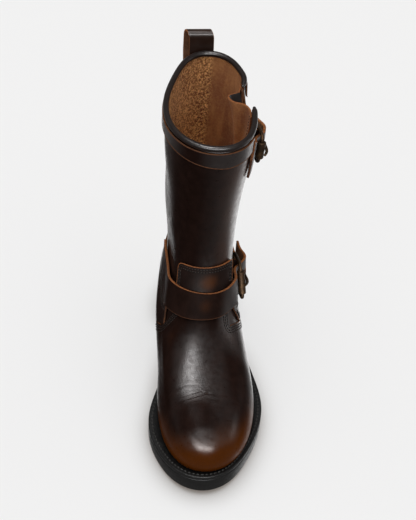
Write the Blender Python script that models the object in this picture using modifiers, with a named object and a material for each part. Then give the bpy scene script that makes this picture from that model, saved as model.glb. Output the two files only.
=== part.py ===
"""Pull-on motorcycle boot for the left foot, standing empty on its sole.

Sizes are in millimetres until a mesh is made, and the objects are in metres, +Z up.
Points are worked out as (x, fwd, up): x runs to the outer side, fwd runs from the heel's
centre to the toe, up runs from the floor. In the scene the toe points to -Y.
"""

from collections import namedtuple

import bmesh
import bpy
import numpy as np

MM = 0.001
SEAT_GAP = 0.3           # between two pieces that touch
LAYER_GAP = 0.6          # between the upper and a faceted layer laid on it

# Sole
HEEL_SEAT = 41.0         # top of the welt over the heel
BALL_SEAT = 18.0         # top of the welt under the ball
SEAT_END = 10.0          # where the welt starts to drop from the heel
DROP_LENGTH = 125.0      # length over which it drops
TOE_SPRING = 7.5         # rise of the welt at the toe over the ball
TREAD_SPRING = 4.5       # rise of the tread there
TOE_SEAM = 231.0         # front of the upper on the welt
HEEL_HEIGHT = 28.0       # floor to the outsole at the heel
HEEL_BREAST = 33.0       # front face of the heel
ARCH_END = 112.0         # where the forefoot starts to touch the floor
SPRING_START = 168.0     # where the toe starts to lift
WELT_THICK = 4.0
WELT_INSET = 2.9         # welt under the upper's wall
INSOLE_RISE = 3.0        # insole's top over the welt's top
INSOLE_INSET = 3.3

# Upper
WALL = 2.2
OVERLAY = 1.5
BAND_HEIGHT = 20.0
BINDING_RADIUS = 2.5
SLIT_DEPTH = 90.0
SLIT_MIDDLE = 94.0       # degrees round from the toe, outer side
SLIT_FRONT = 81.0
SLIT_BACK = 104.0
CURL = 6.0               # the collar behind the slit bends this far into the shaft
CURL_START = 122.0       # degrees
CURL_DEPTH = 38.0        # below the topline
PLEAT_DEPTH = 12.0
VAMP_SIDE = 103.4        # degrees, where the vamp ends on both sides
COUNTER_OUTER = 50.0     # degrees, front edge of the heel counter on the outer side
COUNTER_INNER = -66.0
HEM = 3.0                # overlays start this far above the welt
SEAM_GAP = 0.8           # between the vamp's and the counter's edge
COVER_GAP = 0.9          # between the upper and the stiffer vamp and counter
TOE_ROWS = 1.3           # power that sets the vamp's rows closer round the toe

Section = namedtuple(
    "Section",
    "back_fwd back_up front_fwd front_up heel waist ball back_round front_round heel_x waist_x ball_x toe_x",
)

# Half widths are at 14, 45 and 72 per cent of the way from the back to the front, and the last
# four columns move the section's middle to the outer side there and at the front.
SECTIONS = (
    Section(-29.0, 41.3, 231.0, 25.8, 28.0, 31.0, 41.0, 27, 24, 1.0, 4.5, 3.5, -0.5),    # on the welt
    Section(-31.0, 50.0, 235.0, 37.0, 30.5, 33.2, 42.3, 28, 24, 0.8, 2.0, 3.0, -0.5),    # toe wall
    Section(-32.0, 57.0, 232.5, 50.0, 31.8, 34.2, 42.0, 28, 23, 0.6, 0.7, 2.8, -0.5),
    Section(-32.5, 63.0, 222.0, 61.5, 31.2, 35.8, 40.0, 28, 24, 1.6, -1.2, 2.6, -2.0),   # toe top
    Section(-32.5, 70.0, 202.0, 70.5, 31.0, 36.2, 37.2, 28, 25, 2.0, -1.6, 1.6, -4.5),   # ball
    Section(-31.5, 79.0, 174.0, 79.0, 29.5, 33.6, 34.6, 27, 24, 2.6, -0.2, 0.9, -6.0),
    Section(-29.5, 90.0, 144.0, 92.0, 27.4, 30.9, 31.5, 26, 22, 3.4, 0.8, 1.6, -5.0),    # instep
    Section(-27.5, 104.0, 118.0, 112.0, 26.4, 29.6, 28.6, 24, 21, 3.6, 2.3, 2.6, -1.0),
    Section(-26.5, 124.0, 99.0, 138.0, 26.0, 30.0, 27.4, 23, 22, 3.4, 2.6, 3.4, 3.0),    # ankle
    Section(-28.0, 152.0, 89.5, 166.0, 26.2, 32.2, 29.2, 23, 24, 3.6, 2.2, 3.4, 4.4),
    Section(-33.0, 192.0, 87.0, 204.0, 26.8, 34.4, 32.4, 24, 27, 4.4, 3.8, 4.2, 6.0),    # calf
    Section(-39.0, 238.0, 88.0, 241.0, 26.0, 36.8, 36.4, 24, 31, 6.6, 5.2, 5.2, 8.4),
    Section(-44.5, 278.0, 88.5, 274.5, 25.5, 37.8, 37.6, 24, 34, 8.5, 6.2, 6.0, 10.0),   # topline
)
STATIONS = np.array((0.0, 0.14, 0.45, 0.72, 1.0))
SETTLE_ROWS = 5          # sections that still follow the sole's curve
ROWS_UP = 24
COLUMNS_ROUND = 38

# Welt past the upper, by degrees round from the toe (outer side positive)
WELT_REACH = (
    (-180.0, 4.0), (-140.0, 4.2), (-100.0, 4.0), (-78.0, 6.5), (-62.0, 12.0), (-40.0, 11.2), (-20.0, 10.4),
    (0.0, 9.5), (20.0, 7.4), (37.0, 6.8), (53.0, 9.8), (66.0, 12.8), (78.0, 12.4), (95.0, 9.6), (125.0, 5.0),
    (180.0, 4.0),
)

# Edges of the layers, as height over the floor by degrees round from the toe
VAMP_EDGE = (
    (-104.0, 38.0), (-100.0, 47.0), (-95.0, 58.0), (-88.0, 67.5), (-81.0, 73.0), (-68.0, 81.0), (-56.0, 89.4),
    (-44.0, 98.8), (-30.0, 111.0), (0.0, 117.0), (29.0, 115.5), (35.0, 112.0), (37.0, 104.5), (38.5, 97.0),
    (41.0, 93.4), (50.0, 90.3), (64.0, 84.0), (76.0, 78.0), (88.0, 70.0), (95.0, 59.0), (100.0, 47.0),
    (104.0, 38.0),
)
COUNTER_TOP = (
    (50.0, 101.0), (64.0, 95.4), (82.0, 88.0), (104.0, 84.0), (136.0, 83.0), (160.0, 94.0), (180.0, 99.0),
    (212.0, 95.0), (232.0, 90.0), (248.0, 87.4), (260.0, 86.0), (278.0, 84.6), (286.0, 87.6),
    (294.0, 92.0),
)
# Front edge of the counter on the outer side
COUNTER_SLANT = ((50.0, 99.0), (57.0, 91.8), (64.0, 85.0), (80.0, 62.0), (104.0, 30.0))
STRAP_TOP = (
    (-118.0, 107.0), (-95.0, 108.5), (-68.0, 113.5), (-36.0, 123.5), (-11.0, 125.6), (8.0, 125.0),
    (33.0, 123.2), (48.0, 121.4), (66.0, 116.5), (96.0, 109.0), (150.0, 104.0),
)
STRAP_LOW = (
    (-118.0, 91.0), (-100.0, 87.6), (-82.0, 86.0), (-62.0, 95.0), (-40.0, 103.0), (-20.0, 105.6),
    (2.0, 106.4), (25.0, 105.2), (48.0, 102.7), (70.0, 95.0), (150.0, 89.0),
)
PATCH_ENDS = (-42.0, 47.0)
PATCH_LOW = 119.5
PATCH_RISE = 26.5
PATCH_DROP = 4.5         # its top is this much lower at both ends
PATCH_CORNER = 8.0       # power that rounds its corners
ADJUSTER_TOP = ((46.0, 271.5), (54.0, 263.5), (68.0, 255.0), (150.0, 252.0))
ADJUSTER_LOW = ((46.0, 229.0), (54.0, 231.0), (68.0, 232.0), (150.0, 229.0))


def smooth_step(share):
    """Rise from 0 to 1 with level ends."""
    share = np.clip(share, 0.0, 1.0)
    return share ** 3 * (share * (6.0 * share - 15.0) + 10.0)


def spline(knots, values, at):
    """Natural cubic spline through the values at the knots, held level past both ends."""
    knots = np.asarray(knots, float)
    values = np.asarray(values, float)
    gaps = np.diff(knots)
    count = len(knots)
    matrix = np.eye(count)
    right = np.zeros_like(values)
    slopes = np.diff(values, axis=0) / gaps.reshape((-1,) + (1,) * (values.ndim - 1))
    for i in range(1, count - 1):
        matrix[i, i - 1 : i + 2] = gaps[i - 1], 2.0 * (gaps[i - 1] + gaps[i]), gaps[i]
        right[i] = 6.0 * (slopes[i] - slopes[i - 1])
    bends = np.linalg.solve(matrix, right)
    at = np.clip(np.asarray(at, float), knots[0], knots[-1])
    low = np.clip(np.searchsorted(knots, at) - 1, 0, count - 2)
    shape = at.shape + (1,) * (values.ndim - 1)
    gap = gaps[low].reshape(shape)
    after = (at.reshape(shape) - knots[low].reshape(shape)) / gap
    before = 1.0 - after
    curve = (before ** 3 - before) * bends[low] + (after ** 3 - after) * bends[low + 1]
    return before * values[low] + after * values[low + 1] + curve * gap ** 2 / 6.0


def height_edge(pairs):
    """An edge of a layer, as a function from angle to height over the floor."""
    degrees, up = np.array(pairs).T
    return lambda angle: spline(degrees, up, np.degrees(angle))


def toe_lift(fwd, spring):
    """Rise towards the toe, past the place where the sole leaves the floor."""
    return spring * np.clip((fwd - SPRING_START) / (TOE_SEAM - SPRING_START), 0.0, None) ** 2


def sole_top(fwd):
    """Top of the welt: level heel seat, slope through the arch, toe spring."""
    drop = (HEEL_SEAT - BALL_SEAT) * smooth_step((fwd - SEAT_END) / DROP_LENGTH)
    return HEEL_SEAT - drop + toe_lift(fwd, TOE_SPRING)


def tread_line(fwd):
    """Underside of the outsole: heel seat, arch, flat forefoot, toe spring."""
    arch = HEEL_HEIGHT * (1.0 - smooth_step((fwd - HEEL_BREAST - 2.0) / (ARCH_END - HEEL_BREAST)))
    return arch + toe_lift(fwd, TREAD_SPRING)


TABLE = np.array(SECTIONS, float)
STEPS = np.hypot(*np.diff(TABLE[:, 2:4], axis=0).T) + np.hypot(*np.diff(TABLE[:, 0:2], axis=0).T)
KNOTS = np.concatenate(([0.0], np.cumsum(STEPS / 2.0)))
TOPLINE = KNOTS[-1]
ROUNDNESS = np.sqrt(1.0 - (2.0 * STATIONS[1:4] - 1.0) ** 2)


def slit_curl(level, angle):
    """Inward bend of the collar behind the slit, strongest at its edge and at the topline."""
    degrees = np.degrees(angle) % 360.0
    near = np.clip((CURL_START - degrees) / (CURL_START - SLIT_BACK), 0.0, 1.0)
    high = np.clip(1.0 - (TOPLINE - level) / CURL_DEPTH, 0.0, 1.0)
    return np.where(degrees > SLIT_FRONT + 5.0, CURL * (near * high) ** 2, 0.0)


def upper_point(level, angle):
    """Outer face of the upper: level runs up from the welt, angle runs round from the toe."""
    level, angle = np.broadcast_arrays(np.asarray(level, float), np.asarray(angle, float))
    row = Section(*np.moveaxis(spline(KNOTS, TABLE, level), -1, 0))
    share = (1.0 + np.cos(angle)) / 2.0
    length = np.hypot(row.front_fwd - row.back_fwd, row.front_up - row.back_up)
    fwd = row.back_fwd + share * (row.front_fwd - row.back_fwd)
    chord = row.back_up + share * (row.front_up - row.back_up)
    first = SECTIONS[0]
    first_share = (fwd - first.back_fwd) / (first.front_fwd - first.back_fwd)
    first_chord = first.back_up + (first.front_up - first.back_up) * first_share
    settle = (1.0 - smooth_step(level / KNOTS[SETTLE_ROWS])) * (sole_top(fwd) + SEAT_GAP - first_chord)
    weights = spline(STATIONS, np.eye(len(STATIONS)), share)
    half = np.stack((
        np.sqrt(row.back_round * length / 2.0),
        row.heel / ROUNDNESS[0],
        row.waist / ROUNDNESS[1],
        row.ball / ROUNDNESS[2],
        np.sqrt(row.front_round * length / 2.0),
    ), axis=-1)
    middle = np.stack((row.heel_x, row.heel_x, row.waist_x, row.ball_x, row.toe_x), axis=-1)
    x = (weights * middle).sum(-1) + np.sin(angle) * (weights * half).sum(-1) - slit_curl(level, angle)
    return np.stack((x, fwd, chord + settle), axis=-1)


def upper_normal(level, angle):
    """Outward direction of the upper's outer face."""
    level, angle = np.broadcast_arrays(np.asarray(level, float), np.asarray(angle, float))
    small = 0.2
    turn = 0.002
    low = np.clip(level - small, 0.0, TOPLINE - 2.0 * small)
    along = upper_point(low + 2.0 * small, angle) - upper_point(low, angle)
    round_ = upper_point(level, angle + turn) - upper_point(level, angle - turn)
    normal = np.cross(along, round_)
    return normal / np.linalg.norm(normal, axis=-1, keepdims=True)


def lifted(level, angle, height):
    """Point at a height over the upper's outer face."""
    height = np.asarray(height, float)[..., None]
    return upper_point(level, angle) + height * upper_normal(level, angle)


def level_at(angle, up):
    """Level at which each angle of the upper reaches a height over the floor."""
    angle, up = np.broadcast_arrays(np.asarray(angle, float), np.asarray(up, float))
    low = np.zeros(angle.shape)
    high = np.full(angle.shape, TOPLINE)
    for _ in range(40):
        middle = (low + high) / 2.0
        above = upper_point(middle, angle)[..., 2] > up
        high = np.where(above, middle, high)
        low = np.where(above, low, middle)
    return (low + high) / 2.0


def level_under_rim(angle, drop):
    """Level that lies a given drop under the topline."""
    return level_at(angle, upper_point(TOPLINE, angle)[..., 2] - drop)


SLIT_LEVEL = float(level_under_rim(np.radians(SLIT_MIDDLE), SLIT_DEPTH))


def slit_angles(level):
    """Front and back edge of the collar's slit, which meet at its foot."""
    share = np.clip((np.asarray(level, float) - SLIT_LEVEL) / (TOPLINE - SLIT_LEVEL), 0.0, 1.0) ** 0.8
    front = SLIT_MIDDLE + (SLIT_FRONT - SLIT_MIDDLE) * share
    back = SLIT_MIDDLE + (SLIT_BACK - SLIT_MIDDLE) * share
    return np.radians(front), np.radians(back)


# Scene helpers

for old in list(bpy.data.objects):
    bpy.data.objects.remove(old, do_unlink=True)

BOOT = bpy.data.collections.new("motorcycle_boot")
CUTTERS = bpy.data.collections.new("cutters")
bpy.context.scene.collection.children.link(BOOT)
bpy.context.scene.collection.children.link(CUTTERS)


def material(name, colour, roughness, metallic=0.0):
    made = bpy.data.materials.new(name)
    made.use_nodes = True
    shader = made.node_tree.nodes["Principled BSDF"]
    shader.inputs["Base Color"].default_value = (*colour, 1.0)
    shader.inputs["Roughness"].default_value = roughness
    shader.inputs["Metallic"].default_value = metallic
    return made


LEATHER = material("burnished_leather", (0.045, 0.022, 0.014), 0.35)
STRAP_LEATHER = material("strap_leather", (0.075, 0.034, 0.017), 0.40)
DARK_LEATHER = material("dark_leather", (0.020, 0.013, 0.010), 0.45)
SUEDE = material("rough_suede", (0.200, 0.095, 0.042), 0.95)
BOARD = material("insole_board", (0.160, 0.085, 0.045), 0.85)
RUBBER = material("black_rubber", (0.012, 0.012, 0.012), 0.65)
BRASS = material("old_brass", (0.250, 0.150, 0.065), 0.38, 1.0)


def place(points):
    """Scene coordinates, in metres, of (x, fwd, up) points in millimetres."""
    return np.asarray(points, float) * np.array((MM, -MM, MM))


def add_object(name, data, finish, collection=BOOT):
    made = bpy.data.objects.new(name, data)
    if finish is not None:
        data.materials.append(finish)
    collection.objects.link(made)
    return made


def add_mesh(name, points, faces, finish, collection=BOOT):
    """Mesh object from points and faces, with coincident points joined and faces turned out."""
    mesh = bpy.data.meshes.new(name)
    mesh.from_pydata(place(points).tolist(), [], faces)
    work = bmesh.new()
    work.from_mesh(mesh)
    bmesh.ops.remove_doubles(work, verts=work.verts, dist=1e-6)
    if all(edge.is_manifold for edge in work.edges):
        bmesh.ops.recalc_face_normals(work, faces=work.faces)
    work.to_mesh(mesh)
    work.free()
    mesh.shade_smooth()
    mesh.set_sharp_from_angle(angle=np.radians(40.0))
    return add_object(name, mesh, finish, collection)


def add_sheet(name, grid, thickness, side, finish):
    """Leather sheet over a grid of points, thickened to side -1, 0 or 1 of its face."""
    rows, columns = grid.shape[:2]
    faces = []
    for i in range(rows - 1):
        for j in range(columns - 1):
            corner = i * columns + j
            faces.append((corner, corner + columns, corner + columns + 1, corner + 1))
    made = add_mesh(name, grid.reshape(-1, 3), faces, finish)
    shell = made.modifiers.new("thickness", "SOLIDIFY")
    shell.thickness = thickness * MM
    shell.offset = side
    shell.use_even_offset = True
    return made


def add_tube(name, points, radius, finish, closed=False):
    """Round bar along a line of points."""
    curve = bpy.data.curves.new(name, "CURVE")
    curve.dimensions = "3D"
    line = curve.splines.new("POLY")
    line.points.add(len(points) - 1)
    for point, at in zip(line.points, place(points)):
        point.co = (*at, 1.0)
    line.use_cyclic_u = closed
    curve.bevel_depth = radius * MM
    curve.bevel_resolution = 1
    curve.use_fill_caps = not closed
    return add_object(name, curve, finish)


def ring_faces(rings, count):
    """Faces between neighbouring rings of a closed loft, each with the same count of points."""
    faces = []
    for first in range(0, (rings - 1) * count, count):
        for j in range(count):
            after = (j + 1) % count
            faces.append((first + j, first + after, first + count + after, first + count + j))
    return faces


def cap_faces(first, count):
    """Strips across a ring that is mirrored about its first point."""
    half = count // 2
    faces = [(first, first + 1, first + count - 1)]
    for j in range(1, half - 1):
        faces.append((first + j, first + j + 1, first + count - j - 1, first + count - j))
    faces.append((first + half - 1, first + half, first + half + 1))
    return faces


def plan_outline(angle, reach):
    """Outline of the upper on the welt, seen from above and moved outwards by the reach."""
    turn = 0.002
    run = (upper_point(0.0, angle + turn) - upper_point(0.0, angle - turn))[..., :2]
    run /= np.linalg.norm(run, axis=-1, keepdims=True)
    outwards = np.stack((-run[..., 1], run[..., 0]), axis=-1)
    return upper_point(0.0, angle)[..., :2] + outwards * np.asarray(reach, float)[..., None]


def welt_reach(angle):
    """Welt past the upper, for angles round from the toe."""
    degrees, reach = np.array(WELT_REACH).T
    return spline(degrees, reach, (np.degrees(angle) + 180.0) % 360.0 - 180.0)


SOLE_POINTS = 50
SOLE_ANGLES = 2.0 * np.pi * np.arange(SOLE_POINTS) / SOLE_POINTS


def sole_ring(reach, height):
    """Ring of points of the sole: reach past the upper, and height as a function of fwd."""
    plan = plan_outline(SOLE_ANGLES, reach)
    return np.column_stack((plan, height(plan[:, 1])))


# Sole


def add_plate(name, rings, finish):
    """Closed plate through rings from its top to its underside."""
    count = SOLE_POINTS
    faces = ring_faces(len(rings), count)
    faces += [tuple(reversed(face)) for face in cap_faces(0, count)]
    faces += cap_faces((len(rings) - 1) * count, count)
    return add_mesh(name, np.concatenate(rings), faces, finish)


def cut(target, cutter):
    cutter.hide_render = True
    cutter.display_type = "WIRE"
    change = target.modifiers.new(cutter.name, "BOOLEAN")
    change.operation = "DIFFERENCE"
    change.object = cutter
    change.solver = "EXACT"


BOX_FACES = ((0, 1, 3, 2), (4, 6, 7, 5), (0, 4, 5, 1), (2, 3, 7, 6), (0, 2, 6, 4), (1, 5, 7, 3))


def add_box_cutter(name, low, high):
    """Cutter box between two corners."""
    xs, fwds, ups = zip(low, high)
    corners = [(x, fwd, up) for x in xs for fwd in fwds for up in ups]
    return add_mesh(name, corners, BOX_FACES, None, CUTTERS)


EDGE_ROUND = 1.2
GROOVE_WIDTH = 3.5
GROOVE_DEPTH = 1.8
TREAD_MIDDLE = 3.0
# Grooves across the tread: place and half length
TREAD_ROWS = ((112.0, 30.0), (124.0, 34.0), (136.0, 37.0), (148.0, 38.0), (160.0, 37.0), (172.0, 35.0))


def add_outsole():
    reach = welt_reach(SOLE_ANGLES)

    def top(fwd):
        return sole_top(fwd) - WELT_THICK - SEAT_GAP

    outsole = add_plate("outsole", (
        sole_ring(reach - EDGE_ROUND, top),
        sole_ring(reach, lambda fwd: top(fwd) - EDGE_ROUND),
        sole_ring(reach, lambda fwd: tread_line(fwd) + 2.0 * EDGE_ROUND),
        sole_ring(reach - 2.0 * EDGE_ROUND, tread_line),
    ), RUBBER)
    for i, (fwd, half) in enumerate(TREAD_ROWS):
        low = (TREAD_MIDDLE - half, fwd, -GROOVE_DEPTH)
        high = (TREAD_MIDDLE + half, fwd + GROOVE_WIDTH, GROOVE_DEPTH)
        cut(outsole, add_box_cutter(f"groove_{i}", low, high))


def add_welt():
    reach = welt_reach(SOLE_ANGLES)

    def bottom(fwd):
        return sole_top(fwd) - WELT_THICK

    inset = np.full(SOLE_POINTS, -WELT_INSET)
    rings = (
        sole_ring(inset, sole_top),
        sole_ring(reach - EDGE_ROUND, sole_top),
        sole_ring(reach, lambda fwd: sole_top(fwd) - EDGE_ROUND),
        sole_ring(reach, lambda fwd: bottom(fwd) + EDGE_ROUND / 2.0),
        sole_ring(reach - EDGE_ROUND, bottom),
        sole_ring(inset, bottom),
        sole_ring(inset, sole_top),
    )
    add_mesh("welt", np.concatenate(rings), ring_faces(len(rings), SOLE_POINTS), RUBBER)


def add_insole():
    inset = np.full(SOLE_POINTS, -INSOLE_INSET)
    add_plate("insole", (
        sole_ring(inset, lambda fwd: sole_top(fwd) + INSOLE_RISE),
        sole_ring(inset, lambda fwd: sole_top(fwd) - WELT_THICK),
    ), BOARD)


HEEL_SPAN = 59.5         # degrees each way from the back, along the sole's outline
HEEL_TAPER = 2.0
BREAST_BOW = 3.5


def add_heel():
    """D-shaped block whose sides taper to the floor, with a hollow breast."""
    top = HEEL_HEIGHT - SEAT_GAP
    angles = np.radians(np.linspace(180.0 - HEEL_SPAN, 180.0 + HEEL_SPAN, 25))
    layers = (
        (HEEL_TAPER + EDGE_ROUND, 0.0), (HEEL_TAPER, EDGE_ROUND), (HEEL_TAPER / 2.0, top / 2.0), (0.0, top),
    )
    share = np.linspace(0.0, 1.0, 6)[1:-1, None]
    bow = np.sin(np.pi * share) * np.array((0.0, -BREAST_BOW))
    rings = []
    for inset, up in layers:
        plan = plan_outline(angles, welt_reach(angles) - inset)
        breast = plan[-1] + (plan[0] - plan[-1]) * share + bow
        ring = np.concatenate((plan, breast))
        rings.append(np.column_stack((ring, np.full(len(ring), up))))
    count = len(rings[0])
    faces = ring_faces(len(rings), count)
    faces.append(tuple(range(count)))
    faces.append(tuple(reversed(range((len(rings) - 1) * count, len(rings) * count))))
    add_mesh("heel", np.concatenate(rings), faces, RUBBER)


# Upper and the layers on it


def upper_levels():
    """Levels of the upper's rows, closer together round the toe and at the instep."""
    even = np.linspace(0.0, 1.0, ROWS_UP)
    return TOPLINE * (0.25 * even + 0.75 * even ** 1.45)


def add_upper():
    rows = []
    for level in upper_levels():
        front, back = slit_angles(level)
        angles = np.linspace(front, back - 2.0 * np.pi, COLUMNS_ROUND + 1)
        rows.append(upper_point(level, angles))
    add_sheet("upper", np.array(rows), WALL, -1.0, LEATHER)


def panel_grid(angles, low, high, rows, height, power=1.0):
    """Grid of points over the upper between two edges, at a height over its face."""
    shares = np.linspace(0.0, 1.0, rows)[:, None] ** power
    levels = low + (high - low) * shares
    return lifted(levels, np.broadcast_to(angles, levels.shape), np.broadcast_to(height, levels.shape))


def eased(start, end, count):
    """Angles in degrees from start to end, closer together at both ends, in radians."""
    even = np.linspace(0.0, 1.0, count)
    share = 0.5 - 0.5 * np.cos(np.pi * even)
    return np.radians(start + (end - start) * (0.5 * share + 0.5 * even))


VAMP_COLUMNS = np.radians(np.linspace(VAMP_SIDE, -VAMP_SIDE, 37))


def add_vamp():
    angles = VAMP_COLUMNS
    high = level_at(angles, height_edge(VAMP_EDGE)(angles))
    add_sheet("vamp", panel_grid(angles, HEM, high, 13, COVER_GAP, TOE_ROWS), OVERLAY, 1.0, LEATHER)


def counter_low(angles):
    """Levels of the counter's low edge: along the vamp's edge, then along the welt."""
    turned = np.pi - np.abs(np.pi - angles)
    side = np.where(angles > np.pi, -turned, turned)
    vamp = level_at(side, height_edge(VAMP_EDGE)(side)) + SEAM_GAP
    slant = np.where(side > 0.0, level_at(side, height_edge(COUNTER_SLANT)(side)), HEM)
    behind = turned > np.radians(VAMP_SIDE)
    return np.where(behind, HEM, np.maximum(np.maximum(vamp, slant), HEM))


def add_counter():
    inner = 2.0 * np.pi + VAMP_COLUMNS[VAMP_COLUMNS < np.radians(COUNTER_INNER)]
    outer = VAMP_COLUMNS[VAMP_COLUMNS > np.radians(COUNTER_OUTER)]
    back = np.linspace(inner[-1], outer[0], 22)[1:-1]
    angles = np.concatenate((inner, back, outer))
    high = level_at(angles, height_edge(COUNTER_TOP)(angles))
    add_sheet("counter", panel_grid(angles, counter_low(angles), high, 8, COVER_GAP), OVERLAY, 1.0, LEATHER)


def patch_top(angles):
    """Height of the patch's top edge, with rounded corners."""
    first, last = np.radians(PATCH_ENDS)
    share = (2.0 * angles - first - last) / (last - first)
    corner = (1.0 - (0.995 * np.abs(share)) ** PATCH_CORNER) ** (1.0 / PATCH_CORNER)
    return PATCH_LOW + (PATCH_RISE - PATCH_DROP * share ** 2) * corner


def add_instep_patch():
    angles = eased(PATCH_ENDS[1], PATCH_ENDS[0], 19)
    low = level_at(angles, PATCH_LOW)
    high = level_at(angles, patch_top(angles))
    add_sheet("instep_patch", panel_grid(angles, low, high, 5, LAYER_GAP), OVERLAY, 1.0, STRAP_LEATHER)


def add_collar_band():
    front, back = slit_angles(TOPLINE - BAND_HEIGHT / 2.0)
    angles = np.linspace(front, back - 2.0 * np.pi, COLUMNS_ROUND + 1)[4:-1]
    low = level_under_rim(angles, BAND_HEIGHT)
    high = level_under_rim(angles, 0.8)
    add_sheet("collar_band", panel_grid(angles, low, high, 4, LAYER_GAP), OVERLAY, 1.0, LEATHER)


def add_collar_binding():
    front, back = slit_angles(TOPLINE)
    angles = np.linspace(front - 0.03, back + 0.03 - 2.0 * np.pi, 35)
    line = lifted(TOPLINE, angles, np.full(len(angles), -WALL / 2.0))
    line[:, 2] += BINDING_RADIUS + SEAT_GAP
    add_tube("collar_binding", line, BINDING_RADIUS, DARK_LEATHER)


# Share of the way from the slit's back edge to its front edge, and depth of the fold there
PLEAT = (
    (0.0, 0.0), (0.07, 0.36), (0.15, 0.76), (0.26, 1.0), (0.41, 1.02), (0.54, 0.86), (0.61, 0.58),
    (0.66, 0.28), (0.78, 0.07), (1.0, 0.0),
)
GUSSET_THICK = 1.4
GUSSET_SEAT = 1.2        # between the wall and the gusset


def add_gusset():
    """Pleat that closes the slit: sewn behind one column of the wall, it folds into the shaft."""
    inside = -(WALL + GUSSET_SEAT + GUSSET_THICK / 2.0)
    steps = np.linspace(0.0, len(PLEAT) - 1.0, 17)
    fold, depth = spline(np.arange(len(PLEAT)), np.array(PLEAT), steps).T
    levels = upper_levels()
    foot = np.searchsorted(levels, SLIT_LEVEL) - 1
    rows = []
    for level in (*levels[foot:-1], TOPLINE - 1.0):
        front, back = slit_angles(level)
        lap = (2.0 * np.pi - back + front) / COLUMNS_ROUND
        wide = (back - front) / np.radians(SLIT_BACK - SLIT_FRONT)
        behind = lifted(level, np.array([back + lap]), np.full(1, inside))
        ahead = lifted(level, np.array([front - lap]), np.full(1, inside))
        start = lifted(level, back, inside)
        end = lifted(level, front, inside)
        inwards = -upper_normal(level, front)
        pleat = start + (end - start) * fold[:, None] + inwards * (depth * PLEAT_DEPTH * wide)[:, None]
        rows.append(np.concatenate((behind, pleat, ahead)))
    add_sheet("gusset", np.array(rows), GUSSET_THICK, 0.0, SUEDE)


# Straps and buckles

STRAP_SEAT = 0.9         # underside of a strap over the upper
# Rise of the instep strap over vamp and patch, by degrees round from the toe
STRAP_STEP = ((-86.0, 0.0), (-44.0, 3.0), (48.0, 3.0), (66.0, 0.0))
LEVEL = ((0.0, 0.0), (90.0, 0.0))
STRAP_THICK = 2.4
CHAPE_THICK = 1.8
ROLLER_RADIUS = 3.9
WIRE_RADIUS = 1.7
PRONG_RADIUS = 1.4
FRAME_LENGTH = 21.0      # roller's axis to the bar that the chape holds
FRAME_CORNER = 4.0
FRAME_PLAY = 1.6         # between the strap's edge and the frame
STRAP_LINE = STRAP_SEAT + STRAP_THICK / 2.0
CHAPE_LINE = STRAP_SEAT + CHAPE_THICK / 2.0
WRAP = WIRE_RADIUS + SEAT_GAP + CHAPE_THICK / 2.0
BAR_HEIGHT = CHAPE_LINE + WRAP
ROLLER_HEIGHT = STRAP_LINE + STRAP_THICK / 2.0 + LAYER_GAP + ROLLER_RADIUS
HOOK = WIRE_RADIUS + SEAT_GAP + PRONG_RADIUS
PRONG_TOP = ROLLER_HEIGHT + ROLLER_RADIUS + SEAT_GAP + PRONG_RADIUS
HOLE_ENDS = (9.5, 20.5)  # hole for the prong, behind the roller
HOLE_HALF = 2.1

# Distance behind the roller and rise, along the strap's free end
BILLET = (
    (-14.0, 0.0), (-6.0, 0.0), (0.0, 0.0), (5.0, 1.6), (10.0, 5.4), (15.0, 9.0), (20.0, 11.2), (25.0, 11.2),
    (33.0, 8.0), (44.0, 5.6),
)
# Distance behind the roller and height over the upper, along the chape's two legs and the prong
CHAPE_UNDER = ((52.0, CHAPE_LINE), (42.0, CHAPE_LINE), (31.0, CHAPE_LINE))
CHAPE_OVER = ((26.0, STRAP_SEAT + 5.4), (32.0, STRAP_SEAT + 3.6), (38.0, STRAP_SEAT + 2.8))
PRONG_RUN = (
    (14.0, PRONG_TOP - 2.2), (7.0, PRONG_TOP - 0.7), (1.0, PRONG_TOP), (-4.0, PRONG_TOP - 0.4),
    (-8.0, PRONG_TOP - 1.5),
)


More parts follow.
